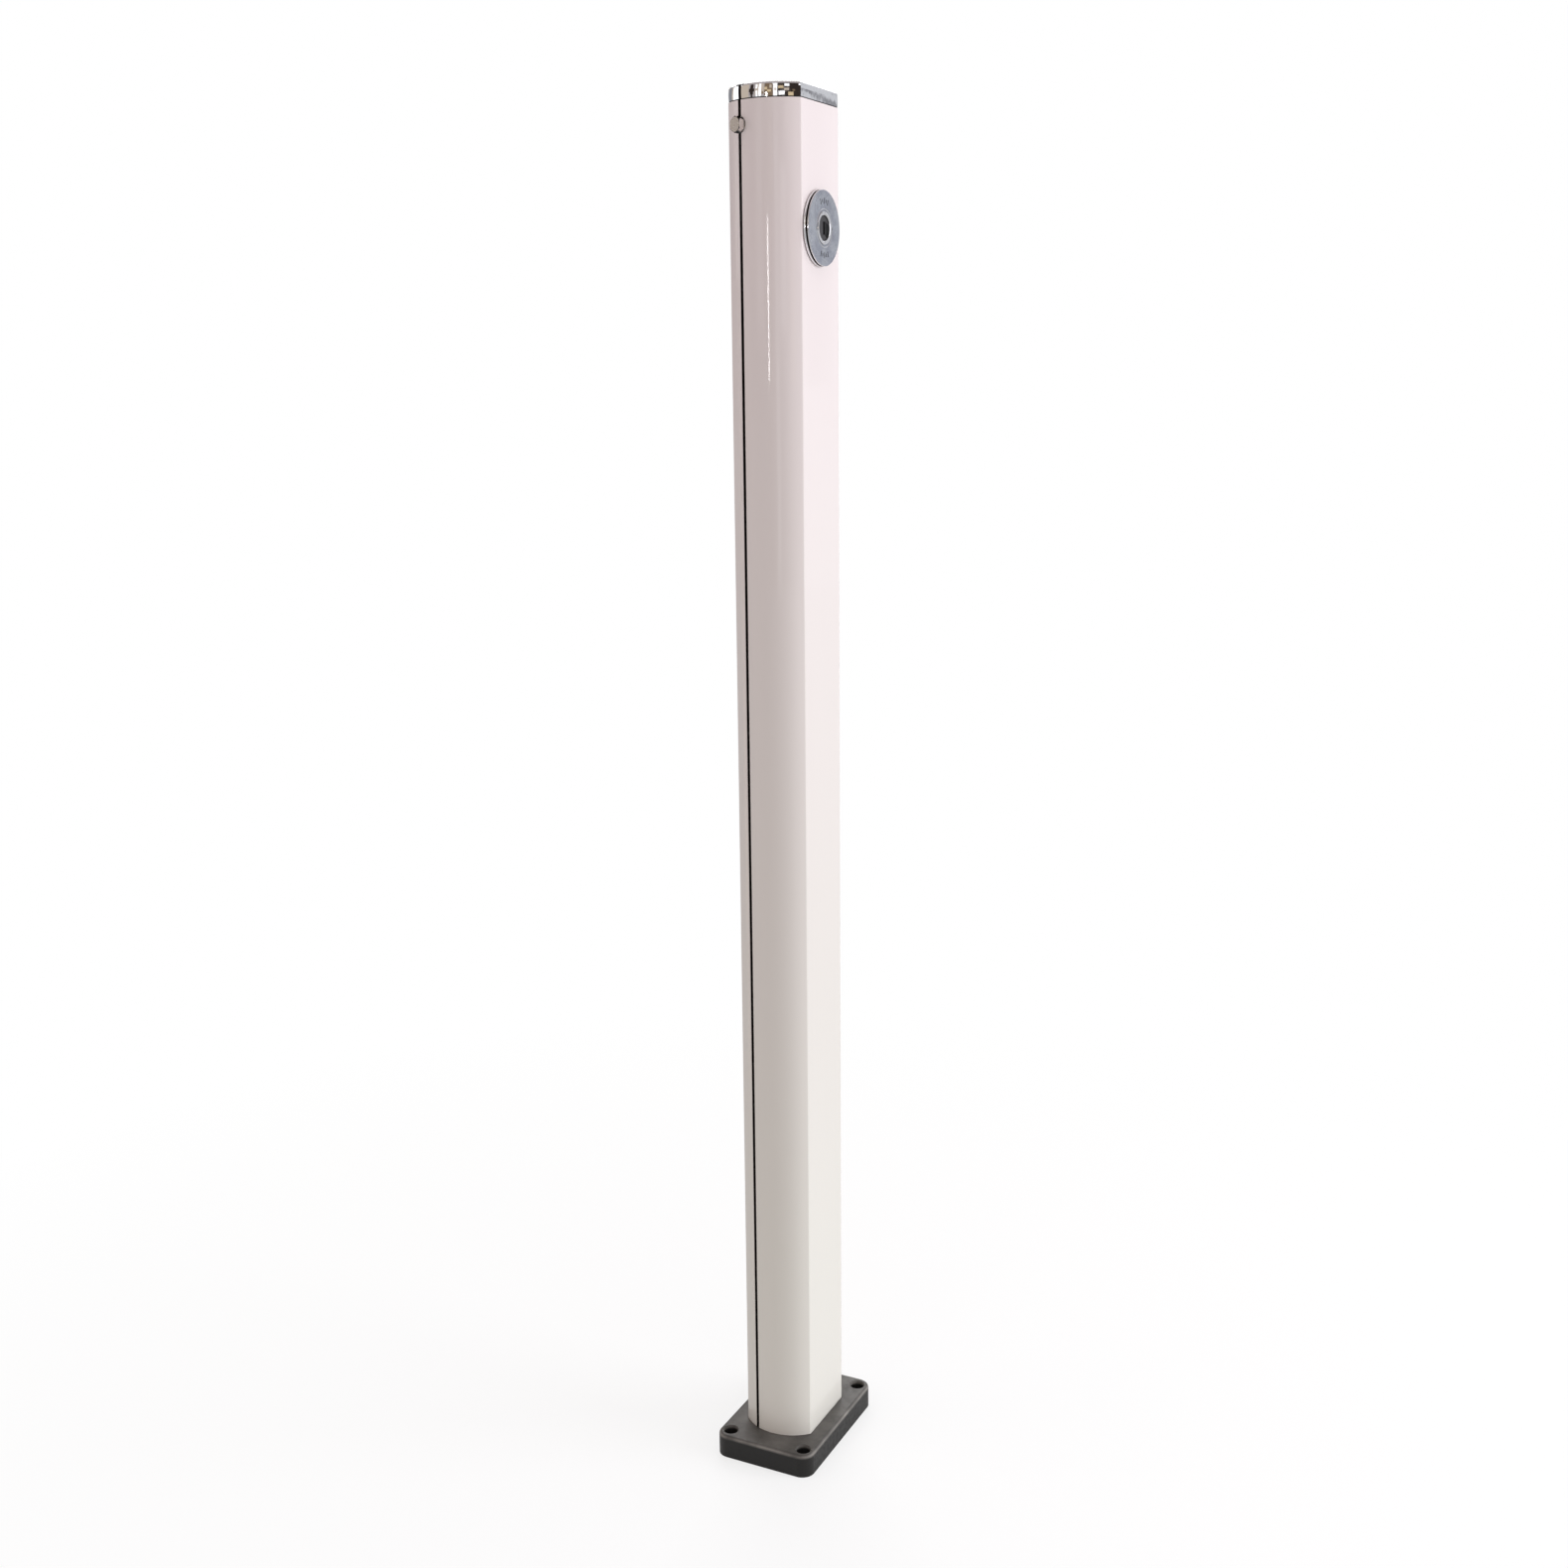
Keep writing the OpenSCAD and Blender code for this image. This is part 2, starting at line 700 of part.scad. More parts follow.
// Buttons that bear on the track's two sides.
module guide_pads() {
    pad_l = pad_sunk + (track_w - block_w) / 2 - slip;
    color(nylon) in_track() for (z = pad_z, s = [-1, 1])
        translate([s * (block_w / 2 - pad_sunk), (block_front + block_back) / 2, z])
            rotate([0, s * 90, 0]) {
                cylinder(d = pad_d, h = pad_l - 0.3);
                translate([0, 0, pad_l - 0.3]) cylinder(d1 = pad_d, d2 = pad_d - 0.6, h = 0.3);
            }
}

// Stud with a hexagonal head outside the post, a flat neck in the slot and a round shank.
module hook_stud() {
    chamfer = 0.6;
    reach = stud_gap + stud_head_h;
    color(steel) difference() {
        in_track() {
            translate([0, -reach, stud_z]) rotate([-90, 0, 0]) intersection() {
                rotate([0, 0, 30]) cylinder(d = stud_af / cos(30), h = stud_head_h, $fn = 6);
                cylinder(d1 = stud_af - 0.2, d2 = stud_af - 0.2 + 2 * stud_head_h / tan(30), h = stud_head_h);
            }
            box([-stud_neck_w / 2, -stud_gap - 0.1, stud_z - stud_neck_h / 2],
                [stud_neck_w / 2, block_front + 0.1, stud_z + stud_neck_h / 2]);
            translate([0, block_front, stud_z]) rotate([-90, 0, 0])
                cylinder(d = stud_shank_d, h = stud_shank_end - block_front);
        }
        in_track() translate([0, (block_front + stud_shank_end) / 2, block_top - stud_pin_l])
            cylinder(d = stud_pin_d + 2 * turn, h = stud_pin_l + over);
    }
}

// Pin that locks the stud in the block.
module stud_pin() {
    color(steel) in_track() translate([0, (block_front + stud_shank_end) / 2, block_top - stud_pin_l])
        cylinder(d = stud_pin_d, h = stud_pin_l);
}

// Sprung pad that rubs on the front of the track, so that the carriage stays where it is put.
module brake_pad() {
    color(nylon) in_track() translate([0, track_front + slip, brake_z]) rotate([-90, 0, 0]) {
        cylinder(d1 = brake_d - 0.8, d2 = brake_d, h = 0.4);
        translate([0, 0, 0.4]) cylinder(d = brake_d, h = brake_pad_l - 0.4);
    }
}

// Points of a coil's wire: ring i of a helix of radius r and height h.
function coil_ring(i, n, r, wire, h, turns, sides) = [
    for (k = [0 : sides - 1]) let (
        a = 360 * turns * i / n,
        b = 360 * k / sides,
        d = r + wire / 2 * cos(b)
    ) [d * cos(a), d * sin(a), h * i / n + wire / 2 * sin(b)]
];

// Coil spring standing on z = 0, h tall over its wire.
module coil(r, wire, h, turns) {
    sides = 8;
    n = turns * 16;
    rings = [for (i = [0 : n]) coil_ring(i, n, r, wire, h - wire, turns, sides)];
    faces = [
        for (i = [0 : n - 1], k = [0 : sides - 1]) let (
            a = i * sides + k,
            b = i * sides + (k + 1) % sides
        ) [a, a + sides, b + sides, b]
    ];
    ends = [[for (k = [0 : sides - 1]) k], [for (k = [sides - 1 : -1 : 0]) n * sides + k]];
    translate([0, 0, wire / 2])
        polyhedron([for (ring = rings) each ring], concat(faces, ends));
}

module brake_spring() {
    spring_from = track_front + slip + brake_pad_l;
    color(steel) in_track() translate([0, spring_from, brake_z]) rotate([-90, 0, 0])
        coil(2.6, 0.7, brake_bore_end - spring_from, 3);
}

base_plate();
base_screws();
post_profile();
cap_gasket();
top_cap();
cap_screws();
track_buffer();
rosette_seal();
rosette();
lock_barrel();
lock_washer();
lock_nut();
lock_case();
case_cover();
case_screws();
lock_plug();
lock_wafers();
plug_clip();
crank_arm();
crank_pin();
crank_screw();
latch_bolt();
carriage_block();
guide_pads();
hook_stud();
stud_pin();
brake_pad();
brake_spring();
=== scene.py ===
# %% [markdown]
# # A slotted post with a key lock
#
# This is a lesson in dressing a finished design. What is left is what a maker would call finishing:
# breaking the sharp edges, turning the round pieces finely, coating, plating and lighting.
#
# The box of the whole object is kept from the start, so that the end of the lesson can show that
# nothing grew or shrank.

import json
import math

import bmesh
import bpy
from mathutils import Matrix, Vector


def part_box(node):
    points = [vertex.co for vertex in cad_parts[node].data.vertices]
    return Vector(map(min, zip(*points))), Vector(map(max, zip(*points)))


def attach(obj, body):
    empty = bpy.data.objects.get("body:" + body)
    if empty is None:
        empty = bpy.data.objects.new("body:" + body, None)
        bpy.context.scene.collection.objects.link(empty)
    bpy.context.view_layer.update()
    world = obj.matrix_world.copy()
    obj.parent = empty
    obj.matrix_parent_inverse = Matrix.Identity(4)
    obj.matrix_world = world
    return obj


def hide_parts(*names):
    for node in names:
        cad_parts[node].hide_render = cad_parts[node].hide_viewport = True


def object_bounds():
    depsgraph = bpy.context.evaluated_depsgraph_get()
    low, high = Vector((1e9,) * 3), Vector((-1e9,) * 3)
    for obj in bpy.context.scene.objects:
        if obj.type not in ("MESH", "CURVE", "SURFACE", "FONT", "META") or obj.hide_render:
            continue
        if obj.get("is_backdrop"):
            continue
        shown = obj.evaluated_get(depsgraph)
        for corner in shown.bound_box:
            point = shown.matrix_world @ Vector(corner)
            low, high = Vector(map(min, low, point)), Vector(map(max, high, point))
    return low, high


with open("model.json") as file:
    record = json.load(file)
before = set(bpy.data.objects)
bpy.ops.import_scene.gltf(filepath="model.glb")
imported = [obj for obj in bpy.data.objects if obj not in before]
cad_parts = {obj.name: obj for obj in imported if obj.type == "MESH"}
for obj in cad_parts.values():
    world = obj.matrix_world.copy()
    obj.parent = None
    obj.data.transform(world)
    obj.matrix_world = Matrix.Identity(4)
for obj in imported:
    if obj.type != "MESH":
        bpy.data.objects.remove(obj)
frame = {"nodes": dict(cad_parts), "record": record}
cad_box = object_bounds()
nodes = frame["nodes"]
MM = 0.001
print(f"{len(nodes)} nodes, {(cad_box[1].z - cad_box[0].z) / MM:.0f} mm tall")

# %% [markdown]
# ## Places that everything else is measured from
#
# A place is read off the frame and never typed in: the lock's axis is the middle of the rosette's
# box, and the foot's top is its highest point that isn't hidden inside the post. The slot comes out
# of the curved end at an angle, and the record states that direction on the stud's mount, where the
# chain hooks on. It is kept as a vector, with a second one that points across the slot.

# %% Read the places off the frame
def middle(node):
    """Middle of a node's box."""
    low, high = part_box(node)
    return (low + high) / 2


post_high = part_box("post_profile")[1]
cap_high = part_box("top_cap")[1]
outside_post = [v.co for v in nodes["base_plate"].data.vertices if abs(v.co.y) > post_high.y]
foot_top = max(corner.z for corner in outside_post)
rosette_low, rosette_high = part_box("rosette")
lock_at = middle("rosette")
stud_at = middle("hook_stud")
slot_mount = next(m for m in frame["record"]["mounts"] if m["name"] == "chain_stud")
slot_out = Vector(slot_mount["axis"])
slot_across = Vector((0, 0, 1)).cross(slot_out)
print(f"foot {foot_top / MM:.1f} mm thick, lock {lock_at.z / MM:.1f} mm up")
print(f"slot faces {math.degrees(math.atan2(slot_out.x, -slot_out.y)):.0f} degrees")

# %% [markdown]
# ## Helpers for meshes
#
# A bmesh is Blender's workbench for a mesh: it holds the vertices, edges and faces while operators
# act on them, and is written back to an object when it is done. Three small helpers cover what the
# pieces here need: one to put a finished bmesh into the scene, one to start from a node's own mesh,
# and one that turns a section round an axis, as a lathe does.

# %% Put a finished mesh into the scene
SMOOTH_BELOW = math.radians(32)


def place(name, work, body, material_slot, *stands_for):
    """Makes an object of a bmesh, rides it on a body and says which nodes it stands for."""
    mesh = bpy.data.meshes.new(name)
    work.to_mesh(mesh)
    work.free()
    mesh.shade_smooth()
    mesh.set_sharp_from_angle(angle=SMOOTH_BELOW)
    piece = bpy.data.objects.new(name, mesh)
    bpy.context.scene.collection.objects.link(piece)
    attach(piece, body)
    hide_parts(*stands_for)
    evened = piece.modifiers.new("even_shading", "WEIGHTED_NORMAL")
    evened.keep_sharp = True
    print(f"{name}: {len(mesh.polygons)} faces")
    return piece


# %% Start from a node's own mesh
MERGE_WITHIN = 0.002 * MM
FLAT_WITHIN = math.radians(0.5)


def merged_copy(node):
    """A bmesh of a node, its loose triangles merged and its flat faces joined up."""
    work = bmesh.new()
    work.from_mesh(nodes[node].data)
    bmesh.ops.remove_doubles(work, verts=work.verts, dist=MERGE_WITHIN)
    bmesh.ops.dissolve_limit(
        work, angle_limit=FLAT_WITHIN, verts=work.verts, edges=work.edges, delimit={"NORMAL"}
    )
    return work


def soften(work, edges, width, segments=3):
    """Rounds some edges of a bmesh."""
    bmesh.ops.bevel(
        work,
        geom=edges,
        offset=width,
        offset_type="OFFSET",
        segments=segments,
        profile=0.5,
        affect="EDGES",
        clamp_overlap=True,
        material=-1,
    )


def sharp_edges(work, wanted, over=25):
    """The edges that turn by more than some degrees and whose middle passes a test."""
    found = []
    for edge in work.edges:
        if len(edge.link_faces) != 2 or edge.calc_face_angle(0) < math.radians(over):
            continue
        if wanted(edge, (edge.verts[0].co + edge.verts[1].co) / 2):
            found.append(edge)
    return found


# %% Turn a section round an axis
def turned(section, centre, steps=128):
    """Spins a closed section of (reach, along) points round the X axis through centre."""
    work = bmesh.new()
    points = [work.verts.new(centre + Vector((along, 0, reach))) for reach, along in section]
    edges = [work.edges.new(pair) for pair in zip(points, points[1:])]
    if section[0][0] > 0:
        edges.append(work.edges.new((points[-1], points[0])))
    bmesh.ops.spin(
        work,
        geom=points + edges,
        cent=centre,
        axis=(1, 0, 0),
        angle=math.tau,
        steps=steps,
        use_merge=True,
    )
    bmesh.ops.remove_doubles(work, verts=work.verts, dist=MERGE_WITHIN)
    bmesh.ops.recalc_face_normals(work, faces=work.faces)
    return work


# %% [markdown]
# ## Helpers for materials
#
# Every finish below is one Principled shader with a little noise behind it. The noise reads Object
# coordinates, so it stays on the piece as it moves. One helper makes the shader and others make what
# it is fed with: a noise, a height, a range of values. Three more add the things that real finishes
# share: a gloss that isn't even, a colour that drifts, and a grain that catches the light.

# %% Make a shader and its noises
def finish(name, colour, metallic=0.0):
    """A material with a Principled shader, and the two handles that the noises need."""
    made = bpy.data.materials.new(name)
    made.use_nodes = True
    tree = made.node_tree
    shader = tree.nodes["Principled BSDF"]
    shader.inputs["Base Color"].default_value = (*colour, 1)
    shader.inputs["Metallic"].default_value = metallic
    return made, tree, shader


def noise(tree, scale, detail=2.0, stretch=(1, 1, 1)):
    """A noise on Object coordinates, its scale in cells per metre."""
    place_of = tree.nodes.new("ShaderNodeTexCoord")
    turn = tree.nodes.new("ShaderNodeMapping")
    turn.inputs["Scale"].default_value = stretch
    grain = tree.nodes.new("ShaderNodeTexNoise")
    grain.inputs["Scale"].default_value = scale
    grain.inputs["Detail"].default_value = detail
    tree.links.new(place_of.outputs["Object"], turn.inputs["Vector"])
    tree.links.new(turn.outputs["Vector"], grain.inputs["Vector"])
    return grain.outputs["Fac"]


def height(tree):
    """The Z of the Object coordinates, which is the height above the ground."""
    place_of = tree.nodes.new("ShaderNodeTexCoord")
    split = tree.nodes.new("ShaderNodeSeparateXYZ")
    tree.links.new(place_of.outputs["Object"], split.inputs["Vector"])
    return split.outputs["Z"]


def ranged(tree, source, low, high, start=0.3, end=0.7):
    """Maps a source on to a range of values. The defaults are where a noise spends its time."""
    spread = tree.nodes.new("ShaderNodeMapRange")
    spread.inputs["From Min"].default_value = start
    spread.inputs["From Max"].default_value = end
    spread.inputs["To Min"].default_value = low
    spread.inputs["To Max"].default_value = high
    tree.links.new(source, spread.inputs["Value"])
    return spread.outputs["Result"]


def product(tree, first, second):
    """Two values multiplied."""
    times = tree.nodes.new("ShaderNodeMath")
    times.operation = "MULTIPLY"
    tree.links.new(first, times.inputs[0])
    tree.links.new(second, times.inputs[1])
    return times.outputs[0]


# %% Feed the shader
def uneven(tree, shader, source, smooth, dull):
    """Lets the gloss wander between two roughnesses."""
    tree.links.new(ranged(tree, source, smooth, dull), shader.inputs["Roughness"])


def drift(tree, shader, source, first, second):
    """Lets the base colour drift between two colours."""
    blend = tree.nodes.new("ShaderNodeMix")
    blend.data_type = "RGBA"
    blend.inputs["A"].default_value = (*first, 1)
    blend.inputs["B"].default_value = (*second, 1)
    tree.links.new(source, blend.inputs["Factor"])
    tree.links.new(blend.outputs["Result"], shader.inputs["Base Color"])


def bumped(tree, shader, source, rise, strength):
    """Raises the surface by a noise, its rise in metres."""
    bump = tree.nodes.new("ShaderNodeBump")
    bump.inputs["Strength"].default_value = strength
    bump.inputs["Distance"].default_value = rise
    tree.links.new(source, bump.inputs["Height"])
    tree.links.new(bump.outputs["Normal"], shader.inputs["Normal"])


# %% [markdown]
# ## The coating on the post
#
# Powder coat is sprayed on as dust and melted into one glossy skin. It never lies quite flat: a slow
# ripple, called orange peel, bends the reflections, and the lines of the extrusion under it show as
# faint streaks along the post. The ripple is a bump that is far too shallow to see as a shape. The coat
# is a rosy white, and down the post its colour drifts to a brighter, creamy white near the foot, which
# is painted light: the bounce from the floor, painted into the colour.

# %% Gloss white powder coat
PAINT_TOP = (0.79, 0.705, 0.697)
# The foot colour below, and the heights where it blends in, paint the floor's bounce light into the coat.
PAINT_FOOT_PAINTED_BOUNCE = (0.772, 0.75, 0.687)
PAINTED_BOUNCE_BELOW = 0.15
PAINTED_BOUNCE_FADES_ABOVE = 0.9
COAT_WEIGHT = 0.6
COAT_ROUGHNESS = 0.05
UNDER_COAT = 0.2
RIPPLE_CELLS = 260
RIPPLE_RISE = 0.012 * MM
RIPPLE_STRETCH = 0.45
STREAK_CELLS = 420
STREAK_STRETCH = 0.01
STREAK_GLOSS = (0.32, 0.44)
paint, tree, shader = finish("white_powder_coat", PAINT_TOP)
shader.inputs["Coat Weight"].default_value = COAT_WEIGHT
shader.inputs["Coat Roughness"].default_value = COAT_ROUGHNESS
shader.inputs["Specular IOR Level"].default_value = UNDER_COAT
# This blend by height is painted bounce light from the floor.
painted_bounce_by_height = ranged(tree, height(tree), 1, 0, PAINTED_BOUNCE_BELOW, PAINTED_BOUNCE_FADES_ABOVE)
drift(tree, shader, painted_bounce_by_height, PAINT_TOP, PAINT_FOOT_PAINTED_BOUNCE)
ripple = noise(tree, RIPPLE_CELLS, detail=1.0, stretch=(1, 1, RIPPLE_STRETCH))
bumped(tree, shader, ripple, RIPPLE_RISE, 0.3)
streaks = noise(tree, STREAK_CELLS, stretch=(1, 1, STREAK_STRETCH))
uneven(tree, shader, streaks, *STREAK_GLOSS)
print(paint.name)

# %% [markdown]
# ## The foot's finish
#
# The foot is a casting with a thick dark coat. The coat is matt and slightly pebbled. Its colour is
# painted paler along the rounded upper edge, which is a painted highlight, and a little paler on its
# top, which is painted light, while its sides stay dark. How pale it is depends on height, so the colour
# is mixed by the Z of the Object coordinates, and a noise makes the painted highlight patchy.

# %% Dark coated casting
FOOT_DARK = (0.011, 0.0105, 0.0095)
# The pale colour below is a painted highlight on the upper edge and painted light on the top.
FOOT_PAINTED_HIGHLIGHT = (0.25, 0.235, 0.215)
HIGHLIGHT_STARTS = foot_top - 3.2 * MM
HIGHLIGHT_PEAK = foot_top - 1.3 * MM
HIGHLIGHT_ENDS = foot_top - 0.2 * MM
PAINTED_LIGHT_ON_TOP = 0.36
HIGHLIGHT_PATCH_CELLS = 55
GLOSS_CELLS = 300
PEBBLE_CELLS = 1500
PEBBLE_RISE = 0.04 * MM
foot_coat, tree, shader = finish("dark_foot_coat", FOOT_DARK)
shader.inputs["Specular IOR Level"].default_value = 0.45
# These ranges place the painted highlight along the rounded edge and the painted light on the top.
highlight_rising = ranged(tree, height(tree), 0, 1, HIGHLIGHT_STARTS, HIGHLIGHT_PEAK)
highlight_falling = ranged(tree, height(tree), 1, PAINTED_LIGHT_ON_TOP, HIGHLIGHT_PEAK, HIGHLIGHT_ENDS)
highlight_patches = ranged(tree, noise(tree, HIGHLIGHT_PATCH_CELLS, detail=5.0), 0.4, 1.15)
drift(tree, shader, product(tree, product(tree, highlight_rising, highlight_falling), highlight_patches), FOOT_DARK, FOOT_PAINTED_HIGHLIGHT)
uneven(tree, shader, noise(tree, GLOSS_CELLS, detail=4.0), 0.32, 0.5)
bumped(tree, shader, noise(tree, PEBBLE_CELLS, detail=3.0), PEBBLE_RISE, 0.4)
print(foot_coat.name)

# %% [markdown]
# ## Metals
#
# A metal has no colour of its own but a tinted reflection, so the shader is fully metallic and the
# base colour is the tint. What tells one metal from another is the roughness: a mirror for chrome, a
# soft and cloudy sheen for the satin face of the rosette, and a fine dull grain for plain steel. The
# few stuffs that are no metal come last: rubber, nylon, and a near black that is painted shade in the
# slot, the cap's notch and the rosette's groove.

# %% Metals with a grain
def metal(name, tint, smooth, dull, cells):
    """A metal whose gloss runs between two roughnesses in a grain of its own."""
    made, tree, shader = finish(name, tint, metallic=1.0)
    uneven(tree, shader, noise(tree, cells, detail=3.0), smooth, dull)
    bumped(tree, shader, noise(tree, 2 * cells), 0.004 * MM, 0.3)
    return made


# name, tint, smoothest, dullest, cells of grain per metre
stud_steel = metal("stud_steel", (0.49, 0.45, 0.425), 0.18, 0.30, 900)
# This bright steel is a painted highlight, for the stud's sides.
painted_highlight_steel = metal("painted_highlight_steel", (0.86, 0.82, 0.79), 0.12, 0.22, 700)
zinc_steel = metal("zinc_plate", (0.62, 0.63, 0.66), 0.25, 0.45, 260)
plain_brass = metal("plain_brass", (0.78, 0.58, 0.28), 0.2, 0.35, 300)
dark_steel = metal("dark_plug_steel", (0.125, 0.12, 0.125), 0.35, 0.5, 500)
# This near black is painted shade, for the gap round the key plug.
plug_painted_shade = metal("plug_ring_painted_shade", (0.012, 0.012, 0.013), 0.35, 0.5, 400)
print("grained metals ready")


# %% Chrome, polished and satin
def polished(name, tint, cells, rise):
    """A mirror metal over a casting that isn't quite flat, so reflections wander."""
    made, tree, shader = finish(name, tint, metallic=1.0)
    uneven(tree, shader, noise(tree, 60, detail=3.0), 0.02, 0.08)
    bumped(tree, shader, noise(tree, cells, detail=1.5), rise, 0.6)
    return made


SATIN_DARK = (0.47, 0.49, 0.56)
SATIN_LIGHT = (0.60, 0.62, 0.67)
bright_chrome = polished("bright_chrome", (0.90, 0.90, 0.915), 170, 0.045 * MM)
turned_chrome = polished("turned_chrome", (0.86, 0.86, 0.88), 60, 0.01 * MM)
satin_chrome, tree, shader = finish("satin_chrome", SATIN_DARK, metallic=1.0)
clouds = ranged(tree, noise(tree, 75, detail=3.0), 0, 1, 0.4, 0.6)
drift(tree, shader, clouds, SATIN_DARK, SATIN_LIGHT)
uneven(tree, shader, noise(tree, 90, detail=3.0), 0.12, 0.28)
bumped(tree, shader, noise(tree, 240), 0.03 * MM, 0.4)
print("chrome ready")


# %% Rubber, nylon and the painted shade inside the slot
def dull_plain(name, colour, cells, smooth, dull, pebble, rise, strength, specular=0.5):
    """A plain stuff with no metal in it, which is never quite smooth."""
    made, tree, shader = finish(name, colour)
    shader.inputs["Specular IOR Level"].default_value = specular
    uneven(tree, shader, noise(tree, cells), smooth, dull)
    bumped(tree, shader, noise(tree, pebble), rise, strength)
    return made


# name, colour, cells of gloss, smoothest, dullest, cells of pebble, their rise and its strength
# The near black below is painted shade, put in the slot, the cap's notch and the rosette's groove.
painted_shade_black = dull_plain("painted_shade_dark", (0.012, 0.006, 0.005), 200, 0.45, 0.65, 900, 0.02 * MM, 0.3, 0.25)
black_rubber = dull_plain("black_rubber", (0.018, 0.018, 0.018), 400, 0.6, 0.8, 1800, 0.03 * MM, 0.4)
pale_nylon = dull_plain("pale_nylon", (0.78, 0.75, 0.67), 300, 0.38, 0.52, 1200, 0.02 * MM, 0.3)
print("rubber, nylon and slot ready")

# %% Which finish each slot of the record gets
FINISH_OF_SLOT = {
    "foot_paint": foot_coat,
    "white_paint": paint,
    "bright_chrome": bright_chrome,
    "satin_chrome": satin_chrome,
    "dark_steel": dark_steel,
    "stud_steel": stud_steel,
    "zinc_steel": zinc_steel,
    "black_rubber": black_rubber,
    "pale_nylon": pale_nylon,
    "plain_brass": plain_brass,
}

# %% [markdown]
# ## The profile's outline, measured once
#
# The post's section is two flats and two arcs. The flats' length is read off the node, and the
# radius of the arcs follows from how far they bulge. With those, small functions can say how deep
# any point lies under the outer skin, which is how the edges and the inside are picked out later.

# %% Measure the outline
NEARLY = 0.01 * MM
half_width, half_length = post_high.x, post_high.y
flat_half = max(v.co.y for v in nodes["post_profile"].data.vertices if half_width - v.co.x < NEARLY)
bulge = half_length - flat_half
end_radius = (half_width**2 + bulge**2) / (2 * bulge)
end_centre = half_length - end_radius


def under_flat(point):
    """How far a point lies behind the nearer flat side."""
    return half_width - abs(point.x)


def under_end(point):
    """How far a point lies behind the nearer curved end."""
    return end_radius - math.hypot(point.x, point.y - math.copysign(end_centre, point.y))


def depth_under_skin(point):
    """How far a point lies inside the post's outer face."""
    return min(under_flat(point), under_end(point))


print(f"flats {2 * flat_half / MM:.1f} mm, ends on {end_radius / MM:.1f} mm")

# %% [markdown]
# ## The post
#
# The real one is an extrusion with powder coat on it. Melted powder pulls back from a sharp edge and
# leaves it slightly round, so the creases, the lips of the slot and both ends get a small bevel. A
# bevel is better than a smooth shading trick here, because the thin bright line that it catches is
# real shape. The faces under the skin are painted near black and dull, which is painted shade inside
# the slot.

# %% Round the post's edges and paint shade on its inside
CREASE_ROUND = 0.7 * MM
LIP_ROUND = 0.35 * MM
RIM_ROUND = 0.3 * MM
SKIN = 0.05 * MM
NEAR_CREASE = 1.0 * MM
PAINTED_SHADE_DEPTH = 0.2 * MM
NEARLY_UPRIGHT = 0.99


def upright(edge):
    """Whether an edge runs along the post."""
    return abs((edge.verts[0].co - edge.verts[1].co).normalized().z) > NEARLY_UPRIGHT


def on_skin(edge):
    """Whether an edge lies in the post's outer face."""
    return all(depth_under_skin(vert.co) < SKIN for vert in edge.verts)


def crease(edge, at):
    """Whether an edge is where a flat side meets a curved end."""
    return upright(edge) and on_skin(edge) and abs(at.y) > flat_half - NEAR_CREASE and under_flat(at) < SKIN


work = merged_copy("post_profile")
creases = sharp_edges(work, crease)
soften(work, creases, CREASE_ROUND, 4)
lips = sharp_edges(work, lambda e, at: upright(e) and on_skin(e), over=60)
soften(work, lips, LIP_ROUND, 4)
rims = sharp_edges(work, lambda e, at: not upright(e) and on_skin(e), over=50)
soften(work, rims, RIM_ROUND, 3)
print(f"{len(creases)} creases, {len(lips)} lip edges, {len(rims)} rim edges")
post = place("coated_post", work, "post", "white_paint", "post_profile")
post.data.materials.append(paint)
post.data.materials.append(painted_shade_black)
# Faces deeper than this under the skin get the near black, which is painted shade.
for face in post.data.polygons:
    face.material_index = int(depth_under_skin(face.center) > PAINTED_SHADE_DEPTH)

# %% [markdown]
# ## The cap and the foot
#
# Both are castings. The cap is polished before it is plated, and polishing rounds every corner, so
# its slot and its lower edge are softened. The wheel also takes more off near the edges than in the
# middle, which leaves each side slightly crowned and bends what it reflects. The walls of the notch
# are painted near black, which is painted shade. The foot's own corners are already generous in the
# design, and only its holes, its seat and its lower edge need breaking.

# %% Soften the cap and crown its sides
CAP_ROUND = 0.35 * MM
CROWN = 0.22 * MM
CROWN_CUTS = 7
CAP_EDGE = 1.8 * MM
SEEN_ABOVE = 0.5 * MM
SEEN_DEPTH = 2 * MM
CAP_PAINTED_SHADE_DEPTH = 0.7 * MM
SLOT_REACH = 4 * MM
wall_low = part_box("cap_gasket")[1].z
wall_high = cap_high.z - CAP_EDGE
crown_middle = (wall_low + wall_high) / 2
crown_reach = (wall_high - wall_low) / 2
work = merged_copy("top_cap")
for cut in range(1, CROWN_CUTS):
    at_height = (0, 0, wall_low + (wall_high - wall_low) * cut / CROWN_CUTS)
    everything = list(work.verts) + list(work.edges) + list(work.faces)
    bmesh.ops.bisect_plane(work, geom=everything, dist=0.001 * MM, plane_co=at_height, plane_no=(0, 0, 1))
for vert in work.verts:
    if vert.co.z < wall_low - NEARLY or depth_under_skin(vert.co) > CAP_EDGE:
        continue
    inward = CROWN * min(1, abs(vert.co.z - crown_middle) / crown_reach) ** 2
    if under_flat(vert.co) < under_end(vert.co) and abs(vert.co.y) < flat_half + NEAR_CREASE:
        vert.co.x -= math.copysign(inward, vert.co.x)
    else:
        centre = Vector((0, math.copysign(end_centre, vert.co.y), vert.co.z))
        vert.co -= (vert.co - centre).normalized() * inward


def cap_corner(edge, at):
    """Whether an edge is on the part of the cap that shows."""
    return at.z > post_high.z + SEEN_ABOVE and depth_under_skin(at) < SEEN_DEPTH


